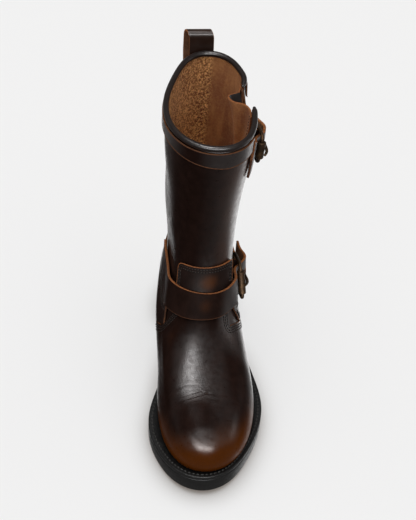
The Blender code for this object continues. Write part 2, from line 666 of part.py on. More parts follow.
class Strap:
    """A strap round the upper that ends in a roller buckle, by its two edges."""

    def __init__(self, name, low_edge, top_edge, start, roller, step):
        self.name = name
        self.low_edge = height_edge(low_edge)
        self.top_edge = height_edge(top_edge)
        self.start = np.radians(start)
        self.roller = np.radians(roller)
        self.step = step
        turn = 0.02
        ends = self.line(self.roller + np.array((-turn, turn)), np.zeros(2))
        self.rate = np.linalg.norm(ends[1] - ends[0]) / (2.0 * turn)
        low, high = (upper_point(level, self.roller) for level in self.levels(self.roller))
        self.half = np.linalg.norm(high - low) / 2.0
        self.across = (high - low) / (2.0 * self.half)

    def levels(self, angles):
        """Levels of the low and top edge."""
        return level_at(angles, self.low_edge(angles)), level_at(angles, self.top_edge(angles))

    def line(self, angles, height, share=0.5):
        """Points over the upper, at a share of the way from the low to the top edge."""
        low, high = self.levels(angles)
        return lifted(low + (high - low) * share, angles, height)

    def at(self, places, share=0.5):
        """Points along the strap, by distance behind the roller and height."""
        behind, height = np.array(places, float).T
        return self.line(self.roller + behind / self.rate, height, share)

    def add_billet(self):
        """The strap from its sewn end, under the roller and over the frame's back bar."""
        run, rise = np.array(BILLET).T
        free = self.roller + run / self.rate
        steps = max(4, int((free[0] - self.start) / 0.15))
        laid = np.linspace(self.start, free[0], steps)[:-1]
        angles = np.concatenate((laid, np.linspace(free[0], free[-1], 19)))
        step, step_rise = np.array(self.step).T
        height = STRAP_LINE + spline(free, rise, angles) + np.interp(np.degrees(angles), step, step_rise)
        low, high = self.levels(angles)
        grid = panel_grid(angles, low, high, 5, height)[:, ::-1]
        billet = add_sheet(f"{self.name}_strap", grid, STRAP_THICK, 0.0, STRAP_LEATHER)
        self.cut_slot(billet, HOLE_ENDS, (STRAP_LINE, PRONG_TOP + 4.0))

    def cut_slot(self, target, ends, heights):
        """Slot for the prong, between two distances behind the roller and two heights."""
        corners = [
            point + side * HOLE_HALF * self.across
            for height in heights
            for side in (-1.0, 1.0)
            for point in self.at([(end, height) for end in ends])
        ]
        cut(target, add_mesh(f"{target.name}_slot", np.array(corners), BOX_FACES, None, CUTTERS))

    def add_chape(self):
        """Short strap folded round the frame's back bar and sewn to the upper behind it."""
        turn = np.radians(np.linspace(-75.0, 75.0, 15))
        fold = np.column_stack((FRAME_LENGTH - WRAP * np.cos(turn), BAR_HEIGHT + WRAP * np.sin(turn)))
        straight = self.at(np.concatenate((fold, CHAPE_OVER)))
        rows = []
        for width in np.linspace(-1.0, 1.0, 5) * (self.half - WIRE_RADIUS):
            sewn = self.at(CHAPE_UNDER, 0.5 + width / (2.0 * self.half))
            rows.append(np.concatenate((sewn, straight + width * self.across)))
        grid = np.array(rows)
        chape = add_sheet(f"{self.name}_chape", grid, CHAPE_THICK, 0.0, STRAP_LEATHER)
        reach = HOOK + PRONG_RADIUS + 0.6
        self.cut_slot(chape, (FRAME_LENGTH - reach, FRAME_LENGTH + reach), (0.5, BAR_HEIGHT + reach))

    def add_buckle(self):
        """Wire frame with rounded corners, the roller on its front bar and the prong on its back bar."""
        roller, bar = self.at(((0.0, ROLLER_HEIGHT), (FRAME_LENGTH, BAR_HEIGHT)))
        reach = self.half + FRAME_PLAY + WIRE_RADIUS - FRAME_CORNER
        back = (bar - roller) / np.linalg.norm(bar - roller)
        quarter = np.radians(np.linspace(0.0, 90.0, 4))
        corners = (
            (roller, -back, 1.0, quarter), (bar, back, 1.0, quarter[::-1]),
            (bar, back, -1.0, quarter), (roller, -back, -1.0, quarter[::-1]),
        )
        line = []
        for end, along, side, turned in corners:
            middle = end - along * FRAME_CORNER + side * reach * self.across
            for angle in turned:
                spoke = np.cos(angle) * along + np.sin(angle) * side * self.across
                line.append(middle + FRAME_CORNER * spoke)
        add_tube(f"{self.name}_frame", np.array(line), WIRE_RADIUS, BRASS, closed=True)
        self.add_roller(roller, back)
        self.add_prong()

    def add_roller(self, centre, back):
        """Turned tube that spins on the frame's front bar."""
        half = self.half - 2.4
        bore = WIRE_RADIUS + SEAT_GAP
        profile = ((bore, -half), (ROLLER_RADIUS, -half), (ROLLER_RADIUS, half), (bore, half), (bore, -half))
        count = 16
        spin = 2.0 * np.pi * np.arange(count)[:, None] / count
        spokes = np.cos(spin) * back + np.sin(spin) * np.cross(self.across, back)
        rings = [centre + height * self.across + radius * spokes for radius, height in profile]
        add_mesh(f"{self.name}_roller", np.concatenate(rings), ring_faces(len(rings), count), BRASS)

    def add_prong(self):
        """Bar that hooks round the back bar, comes up through the strap and rests on the roller."""
        turn = np.radians(np.linspace(-20.0, -270.0, 11))
        hook = np.column_stack((FRAME_LENGTH - HOOK * np.cos(turn), BAR_HEIGHT + HOOK * np.sin(turn)))
        line = self.at(np.concatenate((hook, PRONG_RUN)))
        add_tube(f"{self.name}_prong", line, PRONG_RADIUS, BRASS)


LOOP_MIDDLE = 0.6        # to the outer side
LOOP_WIDTH = 22.5
LOOP_RISE = 22.0         # top of the loop over the collar
LOOP_SEWN = 30.0         # both legs run this far down the shaft
LOOP_THICK = 1.8
LOOP_FOLD = 3.8
LOOP_SKEW = 5.0          # the outer leg lies this far to the inner side of the other


def add_pull_loop():
    """Strip folded a little askew, with both legs sewn to the outside of the shaft."""
    rim = upper_point(TOPLINE, np.pi)
    foot = upper_point(level_under_rim(np.pi, LOOP_SEWN), np.pi)
    rim[0] = foot[0] = LOOP_MIDDLE
    backwards = np.array((0.0, -1.0, 0.0))
    upwards = np.array((0.0, 0.0, 1.0))
    near = LAYER_GAP + OVERLAY + LAYER_GAP + LOOP_THICK / 2.0
    sewn = near + LOOP_THICK + SEAT_GAP
    top = rim + (near + LOOP_FOLD) * backwards + (LOOP_RISE - LOOP_FOLD) * upwards
    path = [foot + near * backwards, rim + near * backwards]
    for turn in np.radians(np.linspace(180.0, 0.0, 9)):
        path.append(top + LOOP_FOLD * (np.cos(turn) * backwards + np.sin(turn) * upwards))
    path.append(rim + (near + 2.0 * LOOP_FOLD) * backwards)
    path.append((rim + foot) / 2.0 + (sewn + 0.8) * backwards)
    path.append(foot + sewn * backwards)
    path = np.array(path)
    path[:, 0] += LOOP_SKEW * np.interp(np.arange(len(path)), (1, 11), (0.5, -0.5))
    width = np.linspace(-0.5, 0.5, 4) * LOOP_WIDTH
    grid = path[None] + width[:, None, None] * np.array((1.0, 0.0, 0.0))
    add_sheet("pull_loop", grid, LOOP_THICK, 0.0, DARK_LEATHER)


def build():
    add_outsole()
    add_heel()
    add_welt()
    add_insole()
    add_upper()
    add_vamp()
    add_counter()
    add_instep_patch()
    add_collar_band()
    add_collar_binding()
    add_gusset()
    add_pull_loop()
    instep = Strap("instep", STRAP_LOW, STRAP_TOP, -112.0, 68.0, STRAP_STEP)
    adjuster = Strap("top", ADJUSTER_LOW, ADJUSTER_TOP, 47.0, 70.0, LEVEL)
    for strap in (instep, adjuster):
        strap.add_billet()
        strap.add_chape()
        strap.add_buckle()


build()
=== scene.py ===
"""Looks of the motorcycle boot: leather, suede, seams, buckles, floor, lights and camera.

The upper's surface and the edges of its layers are worked out here again from the same sizes as
the part's solids, at a finer step. Lengths are in millimetres until a mesh is made.
"""

from collections import namedtuple

import bmesh
import bpy
import numpy as np
from mathutils import Matrix, Vector


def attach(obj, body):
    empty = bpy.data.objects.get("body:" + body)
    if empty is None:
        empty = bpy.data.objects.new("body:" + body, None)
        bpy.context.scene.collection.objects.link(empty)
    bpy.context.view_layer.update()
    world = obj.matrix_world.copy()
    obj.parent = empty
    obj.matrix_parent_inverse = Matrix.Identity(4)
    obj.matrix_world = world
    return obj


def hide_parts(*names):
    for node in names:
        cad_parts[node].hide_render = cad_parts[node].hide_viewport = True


MM = 0.001
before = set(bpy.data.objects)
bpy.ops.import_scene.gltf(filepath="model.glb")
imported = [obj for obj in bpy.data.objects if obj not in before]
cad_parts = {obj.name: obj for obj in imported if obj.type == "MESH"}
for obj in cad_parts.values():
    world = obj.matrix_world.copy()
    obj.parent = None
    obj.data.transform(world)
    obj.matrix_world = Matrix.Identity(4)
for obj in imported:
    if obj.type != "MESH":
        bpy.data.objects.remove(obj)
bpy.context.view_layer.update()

# Sizes shared with the solids

SEAT_GAP = 0.3  # between two pieces that touch
LAYER_GAP = 0.6  # between the upper and a faceted layer laid on it

# Sole
HEEL_SEAT = 41.0  # top of the welt over the heel
BALL_SEAT = 18.0  # top of the welt under the ball
SEAT_END = 10.0  # where the welt starts to drop from the heel
DROP_LENGTH = 125.0  # length over which it drops
TOE_SPRING = 7.5  # rise of the welt at the toe over the ball
TREAD_SPRING = 4.5  # rise of the tread there
TOE_SEAM = 231.0  # front of the upper on the welt
HEEL_HEIGHT = 28.0  # floor to the outsole at the heel
HEEL_BREAST = 33.0  # front face of the heel
BREAST_LIP = 2.0  # the arch starts this far ahead of the breast
ARCH_END = 112.0  # where the forefoot starts to touch the floor
SPRING_START = 168.0  # where the toe starts to lift
WELT_THICK = 4.0
WELT_INSET = 2.9  # welt under the upper's wall
INSOLE_RISE = 3.0  # insole's top over the welt's top
INSOLE_INSET = 3.3

# Upper
WALL = 2.2
OVERLAY = 1.5
BAND_HEIGHT = 20.0
BINDING_RADIUS = 2.5
SLIT_DEPTH = 90.0
SLIT_MIDDLE = 94.0  # degrees round from the toe, outer side
SLIT_FRONT = 81.0
SLIT_BACK = 104.0
CURL = 6.0  # the collar behind the slit bends this far into the shaft
CURL_START = 122.0  # degrees
CURL_DEPTH = 38.0  # below the topline
CURL_CLEAR = 5.0  # degrees past the slit's front edge
PLEAT_DEPTH = 12.0
VAMP_SIDE = 103.4  # degrees, where the vamp ends on both sides
COUNTER_OUTER = 50.0  # degrees, front edge of the heel counter on the outer side
COUNTER_INNER = -66.0
HEM = 3.0  # overlays start this far above the welt
SEAM_GAP = 0.8  # between the vamp's and the counter's edge
COVER_GAP = 0.9  # between the upper and the stiffer vamp and counter
LAYER_TOP = LAYER_GAP + OVERLAY
COVER_TOP = COVER_GAP + OVERLAY

Section = namedtuple(
    "Section",
    "back_fwd back_up front_fwd front_up heel waist ball back_round front_round heel_x waist_x ball_x toe_x",
)

# Half widths are at 14, 45 and 72 per cent of the way from the back to the front, and the last
# four columns move the section's middle to the outer side there and at the front.
SECTIONS = (
    Section(-29.0, 41.3, 231.0, 25.8, 28.0, 31.0, 41.0, 27, 24, 1.0, 4.5, 3.5, -0.5),  # on the welt
    Section(-31.0, 50.0, 235.0, 37.0, 30.5, 33.2, 42.3, 28, 24, 0.8, 2.0, 3.0, -0.5),  # toe wall
    Section(-32.0, 57.0, 232.5, 50.0, 31.8, 34.2, 42.0, 28, 23, 0.6, 0.7, 2.8, -0.5),
    Section(-32.5, 63.0, 222.0, 61.5, 31.2, 35.8, 40.0, 28, 24, 1.6, -1.2, 2.6, -2.0),  # toe top
    Section(-32.5, 70.0, 202.0, 70.5, 31.0, 36.2, 37.2, 28, 25, 2.0, -1.6, 1.6, -4.5),  # ball
    Section(-31.5, 79.0, 174.0, 79.0, 29.5, 33.6, 34.6, 27, 24, 2.6, -0.2, 0.9, -6.0),
    Section(-29.5, 90.0, 144.0, 92.0, 27.4, 30.9, 31.5, 26, 22, 3.4, 0.8, 1.6, -5.0),  # instep
    Section(-27.5, 104.0, 118.0, 112.0, 26.4, 29.6, 28.6, 24, 21, 3.6, 2.3, 2.6, -1.0),
    Section(-26.5, 124.0, 99.0, 138.0, 26.0, 30.0, 27.4, 23, 22, 3.4, 2.6, 3.4, 3.0),  # ankle
    Section(-28.0, 152.0, 89.5, 166.0, 26.2, 32.2, 29.2, 23, 24, 3.6, 2.2, 3.4, 4.4),
    Section(-33.0, 192.0, 87.0, 204.0, 26.8, 34.4, 32.4, 24, 27, 4.4, 3.8, 4.2, 6.0),  # calf
    Section(-39.0, 238.0, 88.0, 241.0, 26.0, 36.8, 36.4, 24, 31, 6.6, 5.2, 5.2, 8.4),
    Section(-44.5, 278.0, 88.5, 274.5, 25.5, 37.8, 37.6, 24, 34, 8.5, 6.2, 6.0, 10.0),  # topline
)
STATIONS = np.array((0.0, 0.14, 0.45, 0.72, 1.0))
SETTLE_ROWS = 5  # sections that still follow the sole's curve

# Welt past the upper, by degrees round from the toe (outer side positive)
WELT_REACH = (
    (-180.0, 4.0), (-140.0, 4.2), (-100.0, 4.0), (-78.0, 6.5), (-62.0, 12.0), (-40.0, 11.2), (-20.0, 10.4),
    (0.0, 9.5), (20.0, 7.4), (37.0, 6.8), (53.0, 9.8), (66.0, 12.8), (78.0, 12.4), (95.0, 9.6), (125.0, 5.0),
    (180.0, 4.0),
)

# Edges of the layers, as height over the floor by degrees round from the toe
VAMP_EDGE = (
    (-104.0, 38.0), (-100.0, 47.0), (-95.0, 58.0), (-88.0, 67.5), (-81.0, 73.0), (-68.0, 81.0), (-56.0, 89.4),
    (-44.0, 98.8), (-30.0, 111.0), (0.0, 117.0), (29.0, 115.5), (35.0, 112.0), (37.0, 104.5), (38.5, 97.0),
    (41.0, 93.4), (50.0, 90.3), (64.0, 84.0), (76.0, 78.0), (88.0, 70.0), (95.0, 59.0), (100.0, 47.0),
    (104.0, 38.0),
)
COUNTER_TOP = (
    (50.0, 101.0), (64.0, 95.4), (82.0, 88.0), (104.0, 84.0), (136.0, 83.0), (160.0, 94.0), (180.0, 99.0),
    (212.0, 95.0), (232.0, 90.0), (248.0, 87.4), (260.0, 86.0), (278.0, 84.6), (286.0, 87.6),
    (294.0, 92.0),
)
# Front edge of the counter on the outer side
COUNTER_SLANT = ((50.0, 99.0), (57.0, 91.8), (64.0, 85.0), (80.0, 62.0), (104.0, 30.0))
STRAP_TOP = (
    (-118.0, 107.0), (-95.0, 108.5), (-68.0, 114.0), (-52.0, 120.0), (-36.0, 123.7), (-11.0, 125.6),
    (8.0, 125.0), (33.0, 123.2), (48.0, 121.4), (66.0, 116.5), (96.0, 109.0), (150.0, 104.0),
)
STRAP_LOW = (
    (-118.0, 91.0), (-100.0, 87.6), (-82.0, 86.0), (-62.0, 95.0), (-40.0, 103.0), (-20.0, 105.6),
    (2.0, 106.4), (25.0, 105.2), (48.0, 102.7), (70.0, 95.0), (150.0, 89.0),
)
PATCH_ENDS = (-42.0, 47.0)
PATCH_LOW = 119.5
PATCH_RISE = 26.5
PATCH_DROP = 4.5  # its top is this much lower at both ends
PATCH_CORNER = 8.0  # power that rounds its corners
ADJUSTER_TOP = ((46.0, 271.5), (54.0, 263.5), (68.0, 255.0), (150.0, 252.0))
ADJUSTER_LOW = ((46.0, 229.0), (54.0, 231.0), (68.0, 232.0), (150.0, 229.0))


def smooth_step(share):
    """Rise from 0 to 1 with level ends."""
    share = np.clip(share, 0.0, 1.0)
    return share ** 3 * (share * (6.0 * share - 15.0) + 10.0)


def ramp(value, start, length):
    """Soft rise from 0 to 1 that begins at start."""
    return smooth_step((value - start) / length)


def hump(value, middle, width):
    """Soft bell of height 1."""
    return np.exp(-((value - middle) / width) ** 2)


def side_degrees(angles):
    """Degrees round from the toe, from -180 to 180."""
    return np.degrees((angles + np.pi) % (2.0 * np.pi) - np.pi)


def unit(vectors):
    """Directions of vectors, by the last axis."""
    return vectors / np.linalg.norm(vectors, axis=-1, keepdims=True)


def lengths(points):
    """Length along a line up to each of its points."""
    return np.concatenate(([0.0], np.cumsum(np.linalg.norm(np.diff(points, axis=0), axis=1))))


def spline(knots, values, at):
    """Natural cubic spline through the values at the knots, held level past both ends."""
    knots = np.asarray(knots, float)
    values = np.asarray(values, float)
    gaps = np.diff(knots)
    count = len(knots)
    matrix = np.eye(count)
    right = np.zeros_like(values)
    slopes = np.diff(values, axis=0) / gaps.reshape((-1,) + (1,) * (values.ndim - 1))
    for i in range(1, count - 1):
        matrix[i, i - 1 : i + 2] = gaps[i - 1], 2.0 * (gaps[i - 1] + gaps[i]), gaps[i]
        right[i] = 6.0 * (slopes[i] - slopes[i - 1])
    bends = np.linalg.solve(matrix, right)
    at = np.clip(np.asarray(at, float), knots[0], knots[-1])
    low = np.clip(np.searchsorted(knots, at) - 1, 0, count - 2)
    shape = at.shape + (1,) * (values.ndim - 1)
    gap = gaps[low].reshape(shape)
    after = (at.reshape(shape) - knots[low].reshape(shape)) / gap
    before = 1.0 - after
    curve = (before ** 3 - before) * bends[low] + (after ** 3 - after) * bends[low + 1]
    return before * values[low] + after * values[low + 1] + curve * gap ** 2 / 6.0


def height_edge(pairs):
    """An edge of a layer, as a function from angle to height over the floor."""
    degrees, up = np.array(pairs).T
    return lambda angle: spline(degrees, up, np.degrees(angle))


def toe_lift(fwd, spring):
    """Rise towards the toe, past the place where the sole leaves the floor."""
    return spring * np.clip((fwd - SPRING_START) / (TOE_SEAM - SPRING_START), 0.0, None) ** 2


def sole_top(fwd):
    """Top of the welt: level heel seat, slope through the arch, toe spring."""
    drop = (HEEL_SEAT - BALL_SEAT) * ramp(fwd, SEAT_END, DROP_LENGTH)
    return HEEL_SEAT - drop + toe_lift(fwd, TOE_SPRING)


def tread_line(fwd):
    """Underside of the outsole: heel seat, arch, flat forefoot, toe spring."""
    arch = HEEL_HEIGHT * (1.0 - ramp(fwd, HEEL_BREAST + BREAST_LIP, ARCH_END - HEEL_BREAST))
    return arch + toe_lift(fwd, TREAD_SPRING)


TABLE = np.array(SECTIONS, float)
STEPS = np.hypot(*np.diff(TABLE[:, 2:4], axis=0).T) + np.hypot(*np.diff(TABLE[:, 0:2], axis=0).T)
KNOTS = np.concatenate(([0.0], np.cumsum(STEPS / 2.0)))
TOPLINE = KNOTS[-1]
ROUNDNESS = np.sqrt(1.0 - (2.0 * STATIONS[1:4] - 1.0) ** 2)


def slit_curl(level, angle):
    """Inward bend of the collar behind the slit, strongest at its edge and at the topline."""
    degrees = np.degrees(angle) % 360.0
    near = np.clip((CURL_START - degrees) / (CURL_START - SLIT_BACK), 0.0, 1.0)
    high = np.clip(1.0 - (TOPLINE - level) / CURL_DEPTH, 0.0, 1.0)
    return np.where(degrees > SLIT_FRONT + CURL_CLEAR, CURL * (near * high) ** 2, 0.0)


def upper_point(level, angle):
    """Outer face of the upper: level runs up from the welt, angle runs round from the toe."""
    level, angle = np.broadcast_arrays(np.asarray(level, float), np.asarray(angle, float))
    row = Section(*np.moveaxis(spline(KNOTS, TABLE, level), -1, 0))
    share = (1.0 + np.cos(angle)) / 2.0
    length = np.hypot(row.front_fwd - row.back_fwd, row.front_up - row.back_up)
    fwd = row.back_fwd + share * (row.front_fwd - row.back_fwd)
    chord = row.back_up + share * (row.front_up - row.back_up)
    first = SECTIONS[0]
    first_share = (fwd - first.back_fwd) / (first.front_fwd - first.back_fwd)
    first_chord = first.back_up + (first.front_up - first.back_up) * first_share
    settle = (1.0 - smooth_step(level / KNOTS[SETTLE_ROWS])) * (sole_top(fwd) + SEAT_GAP - first_chord)
    weights = spline(STATIONS, np.eye(len(STATIONS)), share)
    half = np.stack((
        np.sqrt(row.back_round * length / 2.0),
        row.heel / ROUNDNESS[0],
        row.waist / ROUNDNESS[1],
        row.ball / ROUNDNESS[2],
        np.sqrt(row.front_round * length / 2.0),
    ), axis=-1)
    middle = np.stack((row.heel_x, row.heel_x, row.waist_x, row.ball_x, row.toe_x), axis=-1)
    x = (weights * middle).sum(-1) + np.sin(angle) * (weights * half).sum(-1) - slit_curl(level, angle)
    return np.stack((x, fwd, chord + settle), axis=-1)


def upper_normal(level, angle):
    """Outward direction of the upper's outer face."""
    level, angle = np.broadcast_arrays(np.asarray(level, float), np.asarray(angle, float))
    small = 0.2
    turn = 0.002
    low = np.clip(level - small, 0.0, TOPLINE - 2.0 * small)
    along = upper_point(low + 2.0 * small, angle) - upper_point(low, angle)
    round_ = upper_point(level, angle + turn) - upper_point(level, angle - turn)
    return unit(np.cross(along, round_))


def lifted(level, angle, height):
    """Point at a height over the upper's outer face."""
    height = np.asarray(height, float)[..., None]
    return upper_point(level, angle) + height * upper_normal(level, angle)


def level_at(angle, up):
    """Level at which each angle of the upper reaches a height over the floor."""
    angle, up = np.broadcast_arrays(np.asarray(angle, float), np.asarray(up, float))
    low = np.zeros(angle.shape)
    high = np.full(angle.shape, TOPLINE)
    for _ in range(40):
        middle = (low + high) / 2.0
        above = upper_point(middle, angle)[..., 2] > up
        high = np.where(above, middle, high)
        low = np.where(above, low, middle)
    return (low + high) / 2.0


def level_under_rim(angle, drop):
    """Level that lies a given drop under the topline."""
    return level_at(angle, upper_point(TOPLINE, angle)[..., 2] - drop)


SLIT_LEVEL = float(level_under_rim(np.radians(SLIT_MIDDLE), SLIT_DEPTH))


def slit_angles(level):
    """Front and back edge of the collar's slit, which meet at its foot."""
    share = np.clip((np.asarray(level, float) - SLIT_LEVEL) / (TOPLINE - SLIT_LEVEL), 0.0, 1.0) ** 0.8
    front = SLIT_MIDDLE + (SLIT_FRONT - SLIT_MIDDLE) * share
    back = SLIT_MIDDLE + (SLIT_BACK - SLIT_MIDDLE) * share
    return np.radians(front), np.radians(back)


# Materials


class Nodes:
    """Short way to add and join shader nodes of one material."""

    def __init__(self, name):
        self.material = bpy.data.materials.new(name)
        self.material.use_nodes = True
        self.tree = self.material.node_tree
        self.shader = self.tree.nodes["Principled BSDF"]
        self.place = self.add("ShaderNodeTexCoord").outputs["Object"]

    def put(self, socket, value):
        """Set a socket, or join another node's output to it."""
        if isinstance(value, bpy.types.NodeSocket):
            self.tree.links.new(value, socket)
        elif isinstance(value, tuple):
            socket.default_value = (*value, 1.0)[: len(socket.default_value)]
        else:
            socket.default_value = value

    def add(self, kind, values=None, **settings):
        """Node with its settings, and with values by the names or numbers of its sockets."""
        node = self.tree.nodes.new(kind)
        for key, value in settings.items():
            setattr(node, key, value)
        for key, value in (values or {}).items():
            self.put(node.inputs[key], value)
        return node

    def noise(self, size, detail=3.0, rough=0.55, stretch=None):
        """Noise whose features measure about size millimetres."""
        where = self.place
        if stretch:
            where = self.add("ShaderNodeMapping", {"Vector": where, "Scale": stretch}).outputs["Vector"]
        values = {"Scale": 1.0 / (size * MM), "Detail": detail, "Roughness": rough, "Vector": where}
        return self.add("ShaderNodeTexNoise", values).outputs["Fac"]

    def cells(self, size):
        values = {"Scale": 1.0 / (size * MM), "Vector": self.place}
        return self.add("ShaderNodeTexVoronoi", values).outputs["Distance"]

    def mask(self, name):
        return self.add("ShaderNodeAttribute", attribute_name=name).outputs["Fac"]

    def spread(self, value, low, high, to_low=0.0, to_high=1.0):
        values = {"Value": value, "From Min": low, "From Max": high, "To Min": to_low, "To Max": to_high}
        return self.add("ShaderNodeMapRange", values, interpolation_type="SMOOTHSTEP").outputs["Result"]

    def sum(self, first, second, operation="ADD"):
        return self.add("ShaderNodeMath", {0: first, 1: second}, operation=operation).outputs["Value"]

    def mix(self, share, first, second):
        return self.add("ShaderNodeMix", {0: share, 6: first, 7: second}, data_type="RGBA").outputs[2]

    def bump(self, height, size, strength, under=None):
        """Bump of a height value from 0 to 1, which stands for size millimetres."""
        values = {"Distance": size * MM, "Strength": strength, "Height": height}
        if under:
            values["Normal"] = under
        return self.add("ShaderNodeBump", values).outputs["Normal"]

    def set(self, **values):
        """Set or join the shader's sockets, named with underscores."""
        for key, value in values.items():
            self.put(self.shader.inputs[key.replace("_", " ")], value)
        return self.material


def leather(name, dark, warm, roughness=0.32, coat=0.0, gloss_level=0.5):
    """Smooth waxed leather: warmer where the burnish mask rises (real burnish, and a painted sheen on the
    shaft), duller where the dull mask does.
    """
    n = Nodes(name)
    uneven = n.sum(n.sum(n.noise(22.0, 5.0, 0.6), 0.5, "SUBTRACT"), 0.35, "MULTIPLY")
    burnish = n.spread(n.sum(n.mask("burnish"), uneven), 0.10, 0.95)
    shade = n.mix(n.spread(n.noise(9.0, 5.0), 0.3, 0.75), dark, tuple(1.5 * c for c in dark))
    colour = n.mix(burnish, shade, warm)
    fine = n.bump(n.cells(0.9), 0.05, 0.5)
    rolled = n.bump(n.noise(7.0, 3.0), 0.22, 0.3, fine)
    gloss = n.spread(n.noise(5.0, 5.0, 0.65), 0.25, 0.8, roughness - 0.06, roughness + 0.1)
    level = n.spread(n.mask("dull"), 0.0, 1.0, gloss_level, 0.015 * gloss_level)
    return n.set(
        Base_Color=colour, Roughness=gloss, Normal=rolled, Coat_Weight=coat, Coat_Roughness=0.2,
        Specular_IOR_Level=level,
    )


def raw_edge(name, pale, dark):
    """Cut edge of leather: tan, fibrous and matt, and darker where its mask of painted shade rises."""
    n = Nodes(name)
    raw = n.mix(n.spread(n.noise(2.2, 5.0, 0.7), 0.3, 0.75), dark, pale)
    colour = n.mix(n.mask("dyed"), raw, SHADED_EDGE_COLOUR)
    relief = n.bump(n.noise(0.7, 3.0), 0.15, 0.6)
    return n.set(Base_Color=colour, Roughness=0.8, Normal=relief, Specular_IOR_Level=0.1)


def suede(name, dark, pale):
    """Rough side of leather, with a coarser nap where the nap mask rises."""
    n = Nodes(name)
    nap = n.mask("nap")
    coarse = n.noise(2.0, 4.0, 0.75)
    soft = n.noise(16.0, 4.0, 0.6, (1.0, 1.0, 0.35))
    specks = n.sum(n.spread(coarse, 0.44, 0.60), nap, "MULTIPLY")
    pits = n.sum(n.spread(coarse, 0.44, 0.32), nap, "MULTIPLY")
    middle = tuple(0.8 * a + 0.2 * b for a, b in zip(dark, pale))
    smooth = n.mix(n.spread(soft, 0.3, 0.7), tuple(0.8 * c for c in dark), middle)
    speckled = n.mix(specks, smooth, pale)
    colour = n.mix(pits, speckled, tuple(0.28 * c for c in dark))
    fibres = n.bump(n.noise(0.8, 4.0), 0.3, 0.6)
    relief = n.bump(n.sum(coarse, n.sum(nap, 0.12), "MULTIPLY"), 2.0, 0.9, fibres)
    return n.set(
        Base_Color=colour, Roughness=0.95, Normal=relief, Specular_IOR_Level=0.08, Sheen_Weight=0.06,
        Sheen_Roughness=0.6,
    )


def rubber(name, colour, roughness):
    n = Nodes(name)
    gloss = n.spread(n.noise(3.0, 4.0), 0.3, 0.8, roughness - 0.08, roughness + 0.12)
    relief = n.bump(n.noise(0.8, 4.0), 0.06, 0.5)
    return n.set(Base_Color=colour, Roughness=gloss, Normal=relief, Specular_IOR_Level=0.22)


def old_brass(name, dark, bright):
    """Brass with a dark patina that is rubbed off in patches."""
    n = Nodes(name)
    rubbed = n.spread(n.noise(6.0, 4.0, 0.6), 0.4, 0.75)
    gloss = n.spread(n.noise(3.0, 4.0), 0.3, 0.8, 0.5, 0.66)
    return n.set(
        Base_Color=n.mix(rubbed, dark, bright), Metallic=0.85, Roughness=gloss,
        Normal=n.bump(n.noise(2.0, 3.0), 0.05, 0.4),
    )


def plain(name, colour, roughness):
    return Nodes(name).set(Base_Color=colour, Roughness=roughness, Specular_IOR_Level=0.1)


# Painted shade of a cut edge that faces down
SHADED_EDGE_COLOUR = (0.045, 0.016, 0.007)
LEATHER = leather("leather", (0.0105, 0.0050, 0.0038), (0.080, 0.0195, 0.0008))
STRAP_LEATHER = leather(
    "strap_leather", (0.0115, 0.0056, 0.0042), (0.070, 0.0200, 0.0030), roughness=0.5, gloss_level=0.4,
)
DARK_LEATHER = leather(
    "dark_leather", (0.0085, 0.0048, 0.0040), (0.040, 0.016, 0.0080), roughness=0.34, coat=0.05,
    gloss_level=0.28,
)
EDGE = raw_edge("raw_edge", (0.34, 0.125, 0.038), (0.15, 0.047, 0.014))
# Darker cut edge: worn edges, and painted shade where it lines the back of the pull loop
WORN_AND_SHADED_EDGE = raw_edge("worn_and_shaded_edge", (0.17, 0.062, 0.019), (0.075, 0.025, 0.008))
SUEDE = suede("suede", (0.300, 0.104, 0.0330), (0.95, 0.500, 0.175))
BOARD = plain("insole_board", (0.10, 0.048, 0.022), 0.9)
RUBBER = rubber("rubber", (0.0045, 0.0042, 0.0040), 0.50)
BRASS = old_brass("brass", (0.024, 0.0125, 0.0055), (0.062, 0.033, 0.0135))
THREAD = plain("thread", (0.075, 0.052, 0.042), 0.55)
# Near-black: painted shade in the seams' grooves, and the gusset's dark thread
SEAM_SHADE_AND_DARK_THREAD = plain("groove", (0.0030, 0.0020, 0.0016), 0.8)
BLACK_THREAD = plain("black_thread", (0.034, 0.032, 0.030), 0.5)

# Face, cut edge and back of a sheet
WORN_SHEET = (LEATHER, WORN_AND_SHADED_EDGE, SUEDE)
RAW_SHEET = (LEATHER, EDGE, SUEDE)
STRAP_SHEET = (STRAP_LEATHER, EDGE, SUEDE)
CHAPE_SHEET = (STRAP_LEATHER, EDGE, STRAP_LEATHER)
GUSSET_SHEET = (DARK_LEATHER, EDGE, SUEDE)
# The loop's back takes the darker edge colour as painted shade inside the loop
LOOP_SHEET = (DARK_LEATHER, EDGE, WORN_AND_SHADED_EDGE)


# Meshes


def place(points):
    """Scene coordinates, in metres, of (x, fwd, up) points in millimetres."""
    return np.asarray(points, float) * np.array((MM, -MM, MM))


def link(name, data):
    """Object in the scene."""
    made = bpy.data.objects.new(name, data)
    bpy.context.scene.collection.objects.link(made)
    return made


def add_piece(name, data, finishes, node=None):
    """Object of the boot, riding its one body."""
    for finish in finishes:
        data.materials.append(finish)
    made = link(name, data)
    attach(made, "root")
    if node:
        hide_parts(node)
    return made


def make_mesh(name, points, faces, masks=None):
    """Smooth mesh with one value a point for each mask, or one value for all."""
    mesh = bpy.data.meshes.new(name)
    mesh.from_pydata(place(points).tolist(), [], faces)
    for key, values in (masks or {}).items():
        values = np.broadcast_to(np.ravel(values), len(points)).astype(np.float32)
        mesh.attributes.new(key, "FLOAT", "POINT").data.foreach_set("value", values)
    work = bmesh.new()
    work.from_mesh(mesh)
    bmesh.ops.remove_doubles(work, verts=work.verts, dist=1e-6)
    if all(edge.is_manifold for edge in work.edges):
        bmesh.ops.recalc_face_normals(work, faces=work.faces)
    work.to_mesh(mesh)
    work.free()
    mesh.shade_smooth()
    return mesh


